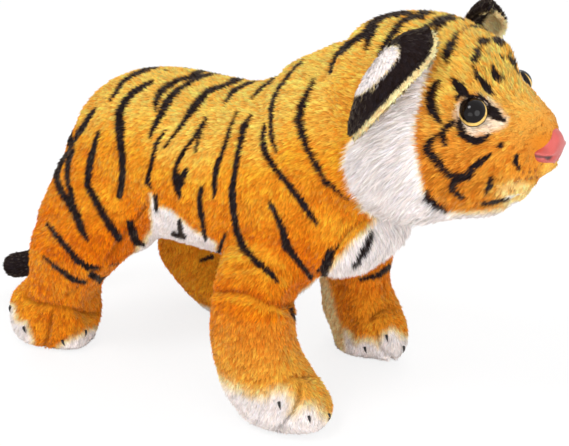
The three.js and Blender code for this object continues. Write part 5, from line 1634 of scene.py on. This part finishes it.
class TIGER_OT_camera(bpy.types.Operator):
    """Places the camera at the photograph's viewing angle"""
    bl_idname = "tiger.camera"
    bl_label = "Camera"

    def execute(self, context):
        deselect()
        bpy.ops.object.camera_add(location=placed(CAMERA_PLACE))
        camera = bpy.context.object
        camera.name = "photo_camera"
        camera.data.sensor_width = SENSOR_WIDTH
        camera.data.lens = FOCAL / PHOTO_WIDTH * SENSOR_WIDTH
        camera.data.clip_start, camera.data.clip_end = 0.01, 50
        camera.rotation_euler = Vector(-TO_CAMERA).to_track_quat("-Z", "Y").to_euler()
        context.scene.camera = camera
        return {"FINISHED"}


SKY_STRENGTH, FLOOR_SHOWN = 0.88, 0.8
# Name, place in metres, power in watts and width in metres of each soft light; all of them aim at one place.
LIGHTS = [("key_light", (-0.2, -0.9, 1.5), 10, 0.55), ("fill_light", (1.3, -0.7, 0.5), 8, 1.0),
          ("low_light", (0.3, -1.25, 0.2), 3.5, 0.8), ("back_light", (-0.4, 1.0, 1.2), 5, 1.0)]
LIGHTS_AIM = Vector((0, 0, 0.12))
WHITE = (1, 1, 1, 1)
FLOOR_SIZE, FLOOR_LEVEL = 6, -0.0002


def show_white(tree, lit, output, share, kind):
    """Shows plain white to the camera and in reflections, in that share, in place of what is lit."""
    white = add_node(tree, kind, {"Color": WHITE, "Strength": 1.0})
    path = add_node(tree, "LightPath")
    either = add_node(tree, "Math", operation="MAXIMUM")
    amount = add_node(tree, "Math", {1: share}, operation="MULTIPLY")
    chosen = add_node(tree, "MixShader")
    wire(tree, (path, "Is Camera Ray", either, 0), (path, "Is Glossy Ray", either, 1), (either, "Value", amount, 0),
         (amount, "Value", chosen, "Fac"), (lit, 0, chosen, 1), (white, 0, chosen, 2),
         (chosen, "Shader", tree.nodes[output], "Surface"))


class TIGER_OT_stage(bpy.types.Operator):
    """Lays the pale floor and sets the soft lights"""
    bl_idname = "tiger.stage"
    bl_label = "Stage"

    def execute(self, context):
        deselect()
        bpy.ops.mesh.primitive_plane_add(size=FLOOR_SIZE, location=(0, 0, FLOOR_LEVEL))
        floor = bpy.context.object
        floor.name = "floor"
        material = clouded_material("pale floor", 3, 2, [(0.9, 0.9, 0.9), (0.93, 0.93, 0.93)],
                                    {"Roughness": 0.95, "Specular IOR Level": 0.1})
        tree = material.node_tree
        show_white(tree, tree.nodes["Principled BSDF"], "Material Output", FLOOR_SHOWN, "Emission")
        floor.data.materials.append(material)
        world = bpy.data.worlds.new("studio")
        context.scene.world = world
        world.use_nodes = True
        light = world.node_tree.nodes["Background"]
        fill(light, {"Color": WHITE, "Strength": SKY_STRENGTH})
        show_white(world.node_tree, light, "World Output", 1.0, "Background")
        for name, place, energy, size in LIGHTS:
            lamp = bpy.data.lights.new(name, "AREA")
            lamp.shape, lamp.energy, lamp.size = "DISK", energy, size
            holder = bpy.data.objects.new(name, lamp)
            holder.location = place
            holder.rotation_euler = (LIGHTS_AIM - holder.location).to_track_quat("-Z", "Y").to_euler()
            context.scene.collection.objects.link(holder)
        context.scene.view_settings.view_transform = "Standard"
        return {"FINISHED"}


class TIGER_PT_panel(bpy.types.Panel):
    """Lists the steps that dress the tiger, and its sizes and colours"""
    bl_idname = "TIGER_PT_panel"
    bl_label = "Plush Tiger"
    bl_space_type = "VIEW_3D"
    bl_region_type = "UI"
    bl_category = "Tiger"

    def draw(self, context):
        column = self.layout.column(align=True)
        for step in STEPS:
            column.operator(step.bl_idname)
        for settings in (context.scene.tiger_pile, context.scene.tiger_colours):
            box = self.layout.box()
            for key in settings.bl_rna.properties.keys():
                if key not in {"rna_type", "name"}:
                    box.prop(settings, key)


STEPS = (TIGER_OT_camera, TIGER_OT_skin, TIGER_OT_tail, TIGER_OT_ears, TIGER_OT_eyes, TIGER_OT_nose, TIGER_OT_claws,
         TIGER_OT_washers, TIGER_OT_stage)
CLASSES = (TIGER_PG_colours, TIGER_PG_pile, *STEPS, TIGER_PT_panel)


def register():
    for item in CLASSES:
        bpy.utils.register_class(item)
    bpy.types.Scene.tiger_colours = bpy.props.PointerProperty(type=TIGER_PG_colours)
    bpy.types.Scene.tiger_pile = bpy.props.PointerProperty(type=TIGER_PG_pile)


def unregister():
    del bpy.types.Scene.tiger_pile
    del bpy.types.Scene.tiger_colours
    for item in reversed(CLASSES):
        bpy.utils.unregister_class(item)


def main():
    """Registers the add-on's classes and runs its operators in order."""
    register()
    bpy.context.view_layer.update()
    bpy.ops.tiger.camera()
    bpy.ops.tiger.skin()
    bpy.ops.tiger.tail()
    bpy.ops.tiger.ears()
    bpy.ops.tiger.eyes()
    bpy.ops.tiger.nose()
    bpy.ops.tiger.claws()
    bpy.ops.tiger.washers()
    bpy.ops.tiger.stage()


if __name__ == "__main__":
    main()
